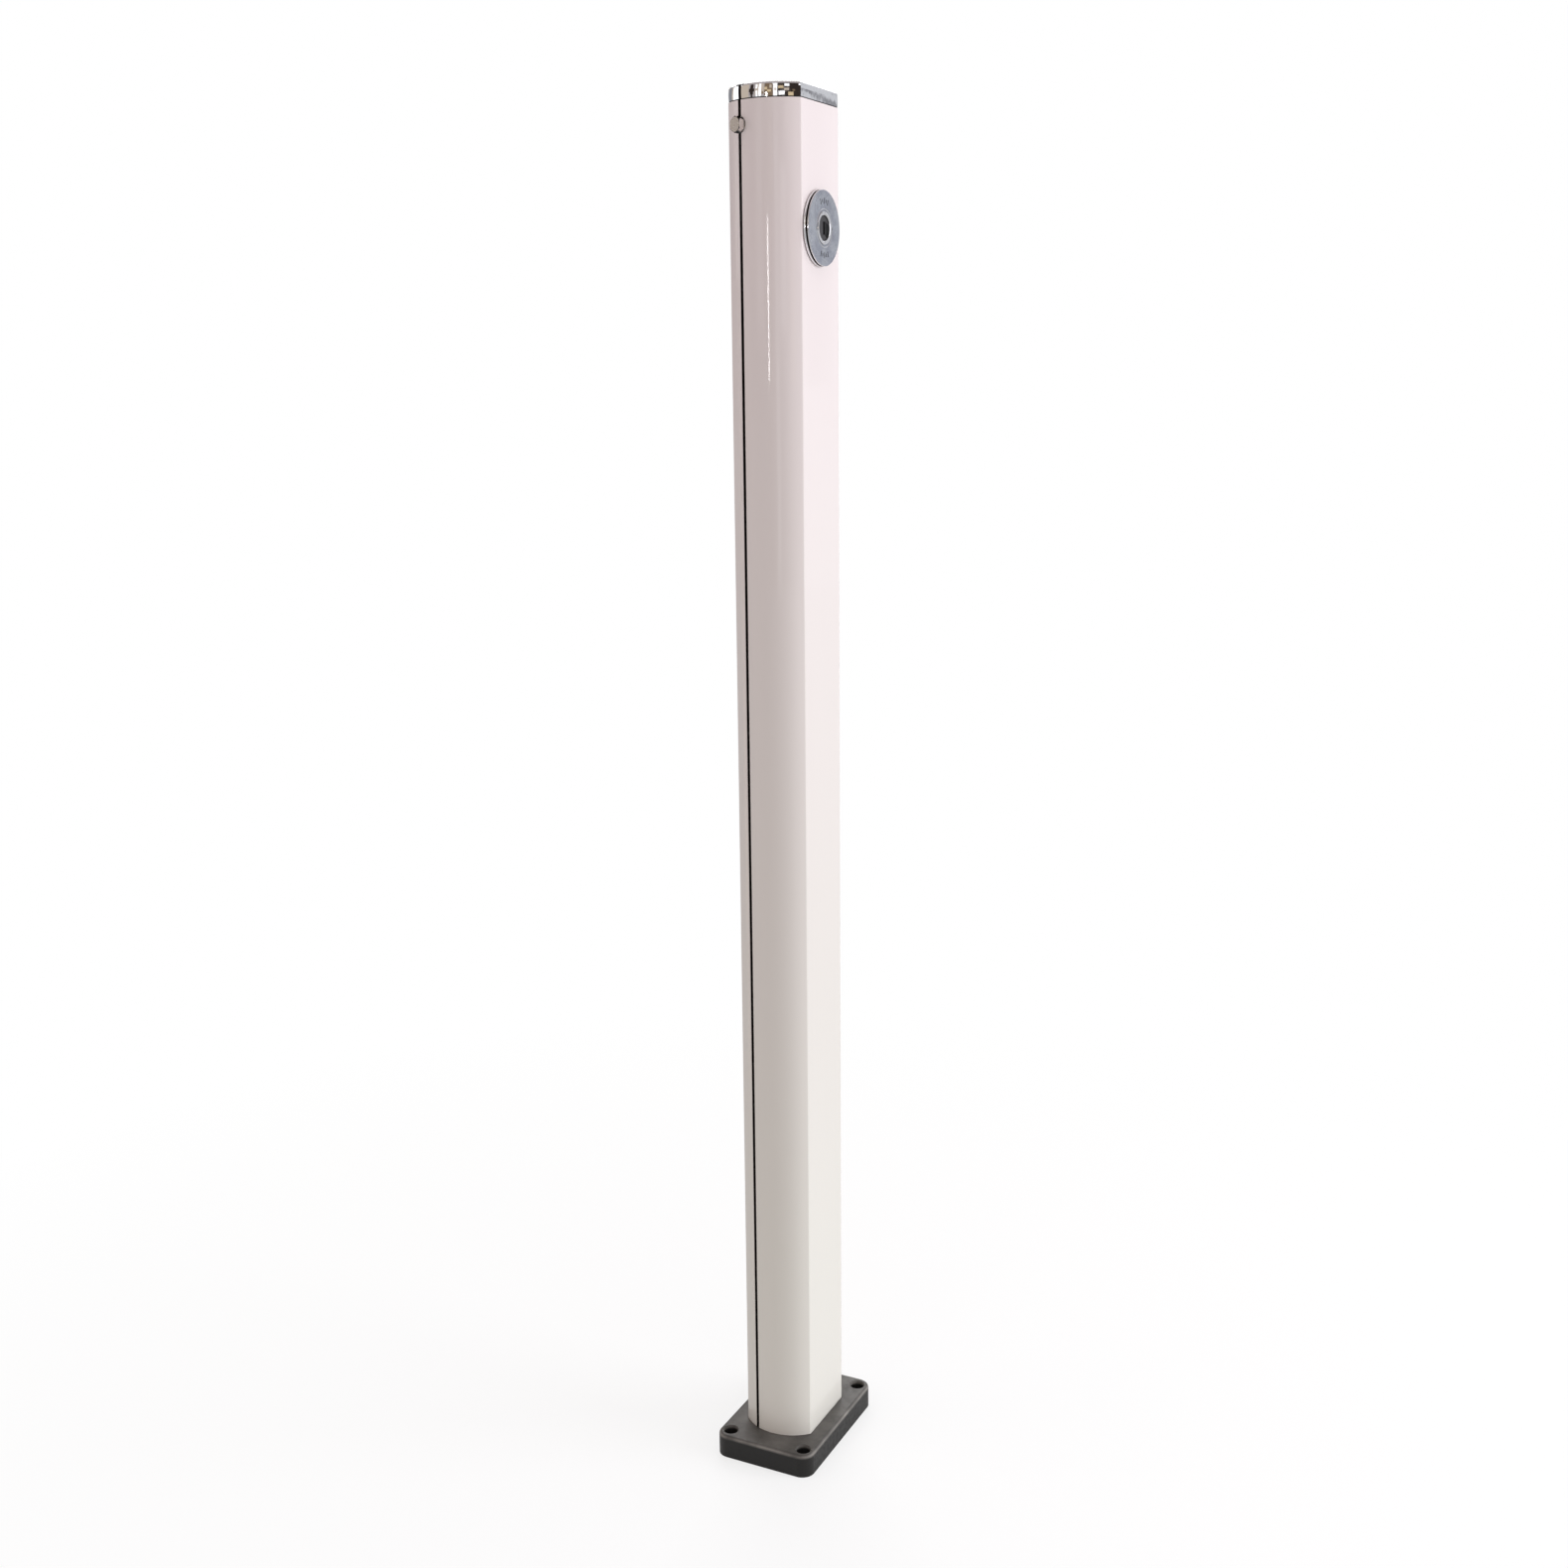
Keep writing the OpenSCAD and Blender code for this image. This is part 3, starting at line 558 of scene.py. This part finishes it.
soften(work, sharp_edges(work, cap_corner, over=50), CAP_ROUND, 3)
cap = place("chrome_cap", work, "post", "bright_chrome", "top_cap")
cap.data.materials.append(bright_chrome)
cap.data.materials.append(painted_shade_black)
# Faces deep in the notch get the near black, which is painted shade.
for face in cap.data.polygons:
    beside_slot = abs((face.center - stud_at).dot(slot_across))
    in_slot = beside_slot < SLOT_REACH and face.center.dot(slot_out) > 0
    face.material_index = int(in_slot and depth_under_skin(face.center) > CAP_PAINTED_SHADE_DEPTH)

# %% Break the foot's edges
FOOT_ROUND = 0.4 * MM
work = merged_copy("base_plate")
soften(work, sharp_edges(work, lambda edge, at: depth_under_skin(at) < 0, over=40), FOOT_ROUND, 2)
foot = place("cast_foot", work, "post", "foot_paint", "base_plate")
foot.data.materials.append(foot_coat)

# %% [markdown]
# ## The rosette
#
# A rosette is turned on a lathe, and `spin` is Blender's lathe: a section is drawn once and swept
# round the lock's axis. The section has a back flange, a groove and a face with a rolled edge, which
# give the rings seen from the side; the dark ring is the groove painted near black, which is painted
# shade. The face carries two rows of plain strokes, engraved with a boolean cut, where a maker would
# put marks.

# %% Turn the rosette
rosette_radius = (rosette_high.y - rosette_low.y) / 2
rosette_depth = rosette_high.x - rosette_low.x
barrel_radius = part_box("lock_barrel")[1].y - lock_at.y
rosette_back = Vector((rosette_low.x, lock_at.y, lock_at.z))
BORE = 9.6 * MM
BARREL_LOOSE = 0.2 * MM
seat = barrel_radius + BARREL_LOOSE
rosette_section = [
    # back flange
    (BORE, 0),
    (rosette_radius - 0.4 * MM, 0),
    (rosette_radius - 0.1 * MM, 0.1 * MM),
    (rosette_radius, 0.35 * MM),
    (rosette_radius, 1.3 * MM),
    (rosette_radius - 0.15 * MM, 1.6 * MM),
    (rosette_radius - 1.0 * MM, 1.75 * MM),
    # groove
    (rosette_radius - 1.4 * MM, 1.95 * MM),
    (rosette_radius - 1.4 * MM, rosette_depth - 1.35 * MM),
    # face, with its rolled edge
    (rosette_radius - 1.0 * MM, rosette_depth - 1.15 * MM),
    (rosette_radius - 0.3 * MM, rosette_depth - 1.0 * MM),
    (rosette_radius - 0.15 * MM, rosette_depth - 0.8 * MM),
    (rosette_radius - 0.15 * MM, rosette_depth - 0.4 * MM),
    (rosette_radius - 0.3 * MM, rosette_depth - 0.12 * MM),
    (rosette_radius - 0.7 * MM, rosette_depth),
    # fine ring round the lock's flange, and the seat under it
    (seat + 1.7 * MM, rosette_depth),
    (seat + 1.45 * MM, rosette_depth - 0.25 * MM),
    (seat + 1.2 * MM, rosette_depth),
    (seat + 0.2 * MM, rosette_depth),
    (seat, rosette_depth - 0.2 * MM),
    (seat, rosette_depth - 0.8 * MM),
    (BORE, rosette_depth - 0.8 * MM),
]
blank_work = turned(rosette_section, rosette_back, steps=160)
print(f"rosette {2 * rosette_radius / MM:.1f} mm across, {rosette_depth / MM:.1f} mm thick")


# %% Engrave two rows of strokes
def carved(work, cutter):
    """Cuts one bmesh out of another with a boolean, and gives back the result as a bmesh."""
    made = []
    for name, part in (("blank", work), ("cutter", cutter)):
        mesh = bpy.data.meshes.new(name)
        part.to_mesh(mesh)
        part.free()
        made.append(bpy.data.objects.new(name, mesh))
        bpy.context.scene.collection.objects.link(made[-1])
    blank, tool = made
    cut = blank.modifiers.new("cut", "BOOLEAN")
    cut.object = tool
    cut.operation = "DIFFERENCE"
    cut.solver = "EXACT"
    result = bmesh.new()
    result.from_object(blank, bpy.context.evaluated_depsgraph_get())
    for part in made:
        mesh = part.data
        bpy.data.objects.remove(part)
        bpy.data.meshes.remove(mesh)
    return result


STROKES = 5
STROKE_STEP = math.radians(9)
STROKE_LENGTH = 3.8 * MM
STROKE_WIDTH = 0.9 * MM
STROKE_DEPTH = 0.45 * MM
SHORT_STROKE = 0.6
STROKE_RING = 17.6 * MM
strokes = bmesh.new()
for middle_turn in (0, math.pi):
    for number in range(STROKES):
        turn = middle_turn + (number - (STROKES - 1) / 2) * STROKE_STEP
        length = STROKE_LENGTH * (1 if number % 2 == 0 else SHORT_STROKE)
        stroke = bmesh.ops.create_cube(strokes, size=1)["verts"]
        bmesh.ops.scale(strokes, verts=stroke, vec=(2 * STROKE_DEPTH, STROKE_WIDTH, length))
        bmesh.ops.translate(strokes, verts=stroke, vec=(rosette_depth, 0, STROKE_RING))
        bmesh.ops.rotate(strokes, verts=stroke, cent=(0, 0, 0), matrix=Matrix.Rotation(turn, 3, "X"))
        bmesh.ops.translate(strokes, verts=stroke, vec=rosette_back)
engraved = carved(blank_work, strokes)
rosette = place("lock_rosette", engraved, "post", "satin_chrome", "rosette")

# %% Give the rosette's faces their finishes
ROSETTE_FINISHES = (satin_chrome, turned_chrome, painted_shade_black, dark_steel)
IN_GROOVE = 2
IN_STROKE = 3
for rosette_finish in ROSETTE_FINISHES:
    rosette.data.materials.append(rosette_finish)
for face in rosette.data.polygons:
    reach = math.hypot(face.center.y - lock_at.y, face.center.z - lock_at.z)
    from_rim = rosette_radius - reach
    behind = rosette_high.x - face.center.x
    # The groove's faces get the near black, which is painted shade.
    if 0.45 * MM < from_rim < 1.45 * MM and 0.9 * MM < behind < 2.2 * MM:
        face.material_index = IN_GROOVE
    elif behind > 0.2 * MM and reach > seat + 2 * MM and from_rim > 2 * MM:
        face.material_index = IN_STROKE
    elif behind > 0.12 * MM:
        face.material_index = ROSETTE_FINISHES.index(turned_chrome)
print(f"{len(rosette.data.polygons)} faces sorted")

# %% [markdown]
# ## The lock's barrel and plug
#
# Only the barrel's flange shows: a bright rolled ring round the key's entry. The rest of it is a
# threaded tube inside the post, and turning the whole piece in one section is no more work. The
# plug keeps the design's keyway. A ring of near black round its face and the inside of the barrel's
# head are painted shade, for the dark gap round the plug.

# %% Turn the barrel
barrel_low, barrel_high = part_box("lock_barrel")
barrel_back = Vector((barrel_low.x, lock_at.y, lock_at.z))
barrel_length = barrel_high.x - barrel_low.x
THREAD_OUT = 9.4 * MM
THREAD_IN = 8.9 * MM
THREAD_PITCH = 1.0 * MM
THREAD_START = 0.3 * MM
THREAD_RUNOUT = 1.5 * MM
TUBE_BORE = 6.55 * MM
HEAD_BORE = 8.35 * MM
FLANGE_THICK = 1.4 * MM
PLUG_HEAD = 2.05 * MM
flange_back = barrel_length - FLANGE_THICK
plug_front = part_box("lock_plug")[1].x
head_floor = plug_front - barrel_low.x - PLUG_HEAD
barrel_section = [(TUBE_BORE, 0), (THREAD_IN, 0)]
for number in range(int((flange_back - THREAD_RUNOUT) / THREAD_PITCH)):
    start = THREAD_START + number * THREAD_PITCH
    barrel_section.append((THREAD_OUT, start + 0.4 * THREAD_PITCH))
    barrel_section.append((THREAD_IN, start + 0.9 * THREAD_PITCH))
barrel_section += [
    (THREAD_OUT, flange_back - 0.6 * MM),
    (THREAD_OUT, flange_back),
    (barrel_radius - 0.15 * MM, flange_back),
    (barrel_radius, flange_back + 0.15 * MM),
    (barrel_radius, flange_back + 0.8 * MM),
    (barrel_radius - 0.25 * MM, flange_back + 1.15 * MM),
    (barrel_radius - 0.9 * MM, barrel_length),
    (barrel_radius - 1.5 * MM, barrel_length - 0.05 * MM),
    (barrel_radius - 2.1 * MM, barrel_length - 0.35 * MM),
    (HEAD_BORE, barrel_length - 0.55 * MM),
    (HEAD_BORE, head_floor),
    (TUBE_BORE, head_floor),
]
barrel_work = turned(barrel_section, barrel_back, steps=128)
barrel = place("threaded_barrel", barrel_work, "post", "bright_chrome", "lock_barrel")
barrel.data.materials.append(turned_chrome)
barrel.data.materials.append(plug_painted_shade)
# Faces deep in the barrel's head get the near black, which is painted shade.
for face in barrel.data.polygons:
    reach = math.hypot(face.center.y - lock_at.y, face.center.z - lock_at.z)
    behind = barrel_high.x - face.center.x
    face.material_index = int(reach < HEAD_BORE + 0.05 * MM and behind > 0.95 * MM)

# %% Inset a flat ring on the plug's face
SHADE_RING_WIDTH = 0.45 * MM
PLUG_FACE_REACH = 6 * MM
ON_FACE = 0.02 * MM
work = merged_copy("lock_plug")
plug_face = [face for face in work.faces if plug_front - face.calc_center_median().x < ON_FACE]
bmesh.ops.inset_region(work, faces=plug_face, thickness=SHADE_RING_WIDTH, depth=0, use_even_offset=True)
plug = place("key_plug", work, "plug", "dark_steel", "lock_plug")
plug.data.materials.append(plug_painted_shade)
plug.data.materials.append(dark_steel)
# The ring round the plug's face and its sides get the near black, which is painted shade.
for face in plug.data.polygons:
    reach = math.hypot(face.center.y - lock_at.y, face.center.z - lock_at.z)
    on_face = plug_front - face.center.x < ON_FACE
    face.material_index = int(on_face and reach < PLUG_FACE_REACH)

# %% [markdown]
# ## The stud
#
# The stud's head is milled from hexagonal bar. Its corners are chamfered in the design, and a small
# bevel on every edge is what a file leaves. Its sides get a much brighter steel, which is a painted
# highlight, and the chamfer between sides and face gets a dark steel, which is painted shade; the
# face keeps the plain steel. A face's normal says which of the three it is.

# %% File the stud's edges
STUD_ROUND = 0.12 * MM
SIDEWAYS = 0.2
HEAD_ON = 0.97
work = merged_copy("hook_stud")
soften(work, sharp_edges(work, lambda edge, at: depth_under_skin(at) < 0, over=20), STUD_ROUND, 2)
stud = place("hexagon_stud", work, "carriage", "stud_steel", "hook_stud")
for steel in (stud_steel, painted_highlight_steel, dark_steel):
    stud.data.materials.append(steel)
# Sides get the painted highlight and chamfers get painted shade.
for face in stud.data.polygons:
    along = abs(face.normal.dot(slot_out))
    if along < SIDEWAYS:
        face.material_index = 1
    elif along < HEAD_ON:
        face.material_index = 2

# %% Dress every node that the frame carries
for subpart in frame["record"]["subparts"]:
    carried = nodes[subpart["node"]]
    carried.data.materials.clear()
    carried.data.materials.append(FINISH_OF_SLOT[subpart["material_slot"]])
print(f"{len(nodes)} nodes dressed")

# %% [markdown]
# ## The floor and the backdrop
#
# The stand is a plain pale floor that runs into a white backdrop with no horizon. The floor is an
# ordinary matt white near the post, where it takes the soft shadow, and glows a little further out
# until it is as white as the backdrop. The world is white to the camera and a softer grey to
# everything else, so the background stays clean while the light on the post stays gentle. That grey
# is warm and the broad panel on the lock's side is cool, which is what gives the shaded curved end its
# rosy tint while the lit flat stays white.

# %% A floor that fades to white
FLOOR_HALF = 30.0
FADE_FROM = 0.08
FADE_TO = 1.0
NEAR_GLOW = 0.72
FLOOR_LIGHT = 0.5
work = bmesh.new()
bmesh.ops.create_grid(work, x_segments=1, y_segments=1, size=FLOOR_HALF)
floor_mesh = bpy.data.meshes.new("floor")
work.to_mesh(floor_mesh)
work.free()
floor = bpy.data.objects.new("floor", floor_mesh)
bpy.context.scene.collection.objects.link(floor)
floor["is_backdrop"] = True
floor_paint, tree, shader = finish("pale_floor", (0.88, 0.88, 0.88))
shader.inputs["Roughness"].default_value = 0.9
shader.inputs["Specular IOR Level"].default_value = 0.1
place_of = tree.nodes.new("ShaderNodeTexCoord")
reach = tree.nodes.new("ShaderNodeVectorMath")
reach.operation = "LENGTH"
tree.links.new(place_of.outputs["Object"], reach.inputs[0])
glow = tree.nodes.new("ShaderNodeEmission")
glow.inputs["Color"].default_value = (1, 1, 1, 1)
seen = tree.nodes.new("ShaderNodeLightPath")
brightness = ranged(tree, seen.outputs["Is Camera Ray"], FLOOR_LIGHT, 1, 0, 1)
tree.links.new(brightness, glow.inputs["Strength"])
fade = tree.nodes.new("ShaderNodeMixShader")
outwards = ranged(tree, reach.outputs["Value"], NEAR_GLOW, 1, FADE_FROM, FADE_TO)
tree.links.new(outwards, fade.inputs["Fac"])
tree.links.new(shader.outputs["BSDF"], fade.inputs[1])
tree.links.new(glow.outputs["Emission"], fade.inputs[2])
tree.links.new(fade.outputs["Shader"], tree.nodes["Material Output"].inputs["Surface"])
floor_mesh.materials.append(floor_paint)
print("floor ready")

# %% A world that is white only to the camera
WORLD_LIGHT = 0.40
WARM = (1.0, 0.90, 0.89)
sky = bpy.data.worlds.new("studio")
sky.use_nodes = True
bpy.context.scene.world = sky
tree = sky.node_tree
backdrop = tree.nodes["Background"]
seen = tree.nodes.new("ShaderNodeLightPath").outputs["Is Camera Ray"]
tree.links.new(ranged(tree, seen, WORLD_LIGHT, 1, 0, 1), backdrop.inputs["Strength"])
tint = tree.nodes.new("ShaderNodeMix")
tint.data_type = "RGBA"
tint.inputs["A"].default_value = (*WARM, 1)
tint.inputs["B"].default_value = (1, 1, 1, 1)
tree.links.new(seen, tint.inputs["Factor"])
tree.links.new(tint.outputs["Result"], backdrop.inputs["Color"])
bpy.context.scene.view_settings.view_transform = "Standard"
print("world ready")

# %% [markdown]
# ## Panels of light
#
# A white post needs light from one side more than the other, or its faces merge. The broad panel is
# on the lock's side and lights the flat, two weaker ones fill the curved end, and the panel overhead
# lights the floor. A narrow tube in front draws the one bright line down the curved end, and a
# softbox behind lays a sheen on the foot.

# %% Place the panels
POST_MIDDLE = Vector((0, 0, 0.5))
GROUND = Vector((0, 0, 0))
COOL = (0.91, 0.945, 1.0)
PANEL_AWAY = 2.6
PANEL_WIDTH = 1.6
PANEL_TALL = 1.8


def panel(name, at, aim, width, height, power, colour=(1, 1, 1)):
    """A rectangular area light that looks from one point at another."""
    lamp = bpy.data.lights.new(name, "AREA")
    lamp.shape = "RECTANGLE"
    lamp.size = width
    lamp.size_y = height
    lamp.energy = power
    lamp.color = colour
    made = bpy.data.objects.new(name, lamp)
    made.location = at
    made.rotation_mode = "QUATERNION"
    made.rotation_quaternion = (at - aim).to_track_quat("Z", "Y")
    made.visible_camera = False
    bpy.context.scene.collection.objects.link(made)
    return made


def around(turn, distance, height):
    """A point at a distance from the post, turned in degrees from its slotted end to the lock's side."""
    angle = math.radians(turn)
    return Vector((math.sin(angle) * distance, -math.cos(angle) * distance, height))


for name, turn, power, colour in (
    ("lock_side_panel", 105, 60, COOL), ("slot_side_fill", -58, 10, WARM), ("corner_fill", 50, 6.7, WARM),
):
    at = around(turn, PANEL_AWAY, 1.0)
    lamp = panel(name, at, POST_MIDDLE, PANEL_WIDTH, PANEL_TALL, power, colour)
    lamp.visible_glossy = False
overhead = panel("overhead_panel", Vector((0, 0, 3.0)), GROUND, 2.5, 2.5, 22)
overhead.visible_glossy = False
panel("front_tube", around(-4.9, 2.0, 0.945), Vector((0, 0, 0.93)), 0.07, 0.27, 1.5)
panel("back_softbox", around(206, PANEL_AWAY, 2.0), GROUND, 2.0, 1.5, 34)
print("panels ready")

# %% [markdown]
# ## Cards for the chrome
#
# Chrome shows nothing but what is round it, and in an empty white studio it looks like white
# plastic. Photographers stand strips of card round it. Here they are two rings of upright cards in
# black, brown, cream and white, the inner ring in front of the outer one. Only reflections can see
# them: they cast no shadow, light nothing and never come into view.

# %% Stand the cards in a ring
CARD_RING = 2.4
FRONT_RING = 2.3
FACET = 4
CARD_TONES = {
    "black": (0.035, 0.026, 0.022),
    "brown": (0.20, 0.14, 0.09),
    "gold": (0.66, 0.52, 0.33),
    "cream": (0.55, 0.47, 0.39),
    "pale": (0.62, 0.63, 0.66),
    "grey": (0.25, 0.25, 0.27),
    "white": (1.4, 1.4, 1.42),
}
# ring, turn and width in degrees, lowest and highest in metres, tone
CARDS = [
    (CARD_RING, -112, 24, 1.0, 2.3, "grey"), (CARD_RING, -97, 6, 1.0, 2.3, "cream"),
    (CARD_RING, -84, 20, 1.0, 2.3, "white"),
    (CARD_RING, -59, 27, 0.6, 2.3, "cream"), (FRONT_RING, -38, 4, 0.8, 2.1, "black"),
    (FRONT_RING, -38, 8, 1.05, 1.75, "black"), (FRONT_RING, -38, 13, 1.25, 1.5, "black"),
    (CARD_RING, -20, 20, 1.0, 2.3, "cream"), (FRONT_RING, -19, 5, 0.9, 2.2, "white"),
    (FRONT_RING, -26, 4, 0.9, 1.3, "white"), (FRONT_RING, -27, 4, 1.5, 1.8, "white"),
    (FRONT_RING, -13, 4, 1.0, 1.2, "brown"), (CARD_RING, 0, 18, 0.4, 2.3, "brown"),
    (FRONT_RING, -6, 6, 1.35, 1.6, "gold"), (FRONT_RING, 1, 8, 1.15, 1.35, "gold"),
    (FRONT_RING, 4, 5, 1.5, 1.8, "cream"), (CARD_RING, 14, 8, 0.4, 2.3, "white"),
    (FRONT_RING, 14, 4, 1.25, 1.5, "cream"), (CARD_RING, 42, 48, 0.4, 2.3, "black"),
    (FRONT_RING, 25, 11, 1.45, 1.7, "gold"), (FRONT_RING, 27, 12, 0.9, 1.2, "white"),
    (FRONT_RING, 37, 11, 1.25, 1.5, "cream"), (FRONT_RING, 38, 10, 1.65, 1.8, "white"),
    (FRONT_RING, 46, 11, 0.8, 1.1, "gold"), (FRONT_RING, 52, 6, 1.2, 1.35, "brown"),
    (CARD_RING, 96, 34, 0.4, 2.3, "white"),
    (CARD_RING, 155, 76, 0.4, 3.4, "pale"), (FRONT_RING, 136, 4, 0.8, 1.5, "grey"),
    (FRONT_RING, 147, 2, 0.9, 2.0, "grey"), (FRONT_RING, 150, 1, 0.7, 1.6, "white"),
    (FRONT_RING, 152, 1, 1.2, 2.6, "grey"), (FRONT_RING, 154, 1, 0.8, 1.4, "grey"),
    (FRONT_RING, 156, 1, 1.5, 2.4, "white"), (FRONT_RING, 157, 1, 0.9, 1.5, "grey"),
    (FRONT_RING, 160, 2, 1.3, 2.2, "grey"), (FRONT_RING, 170, 3, 1.1, 1.8, "white"),
    (CARD_RING, 215, 20, 0.5, 2.0, "black"),
    (CARD_RING, 235, 14, 0.5, 2.0, "cream"),
]
card_paints = {}
for tone, colour in CARD_TONES.items():
    card_paint = bpy.data.materials.new(f"card_{tone}")
    card_paint.use_nodes = True
    tree = card_paint.node_tree
    tree.nodes.remove(tree.nodes["Principled BSDF"])
    glow = tree.nodes.new("ShaderNodeEmission")
    glow.inputs["Color"].default_value = (*colour, 1)
    tree.links.new(glow.outputs["Emission"], tree.nodes["Material Output"].inputs["Surface"])
    card_paints[tone] = card_paint

for number, (ring, turn, width, low, high, tone) in enumerate(CARDS):
    name = f"card_{number}_{tone}"
    work = bmesh.new()
    bmesh.ops.create_grid(work, x_segments=max(1, width // FACET), y_segments=1, size=0.5)
    for vert in work.verts:
        across, up = vert.co.x, vert.co.y + 0.5
        vert.co = around(turn + across * width, ring, low + up * (high - low))
    card_mesh = bpy.data.meshes.new(name)
    work.to_mesh(card_mesh)
    work.free()
    card_mesh.materials.append(card_paints[tone])
    card = bpy.data.objects.new(name, card_mesh)
    bpy.context.scene.collection.objects.link(card)
    card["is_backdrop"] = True
    card.visible_camera = False
    card.visible_diffuse = False
    card.visible_shadow = False
    card.visible_transmission = False
print(f"{len(CARDS)} cards")

# %% [markdown]
# ## The camera
#
# The camera stands a little above the middle of the post and looks slightly down, at the corner
# between the slotted end and the lock's side. It is built from three turns, as a tripod has: round
# the upright, down, and a small roll.

# %% Camera
CAMERA_ROUND = math.radians(26.26)
CAMERA_DISTANCE = 1.2866
CAMERA_HEIGHT = 0.810
CAMERA_PAN = math.radians(0.19)
CAMERA_DOWN = math.radians(12.61)
CAMERA_ROLL = math.radians(-0.56)
LENS = 41.49
SENSOR = 36
CLIP_START = 0.05

camera = bpy.data.objects.new("camera", bpy.data.cameras.new("camera"))
bpy.context.scene.collection.objects.link(camera)
camera.data.lens = LENS
camera.data.sensor_width = SENSOR
camera.data.clip_start = CLIP_START
tripod = Matrix.Rotation(CAMERA_ROUND, 4, "Z") @ Vector((0, -CAMERA_DISTANCE, CAMERA_HEIGHT))
camera.matrix_world = (
    Matrix.Translation(tripod)
    @ Matrix.Rotation(CAMERA_ROUND + CAMERA_PAN, 4, "Z")
    @ Matrix.Rotation(math.pi / 2 - CAMERA_DOWN, 4, "X")
    @ Matrix.Rotation(CAMERA_ROLL, 4, "Z")
)
bpy.context.scene.camera = camera
print(f"camera at {[round(c, 3) for c in camera.location]}")

# %% Keep both boxes, and finish
made_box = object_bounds()
grown = [round((after - before) / MM, 2) for c, m in zip(cad_box, made_box) for before, after in zip(c, m)]
print("visual minus CAD box, mm:", grown)
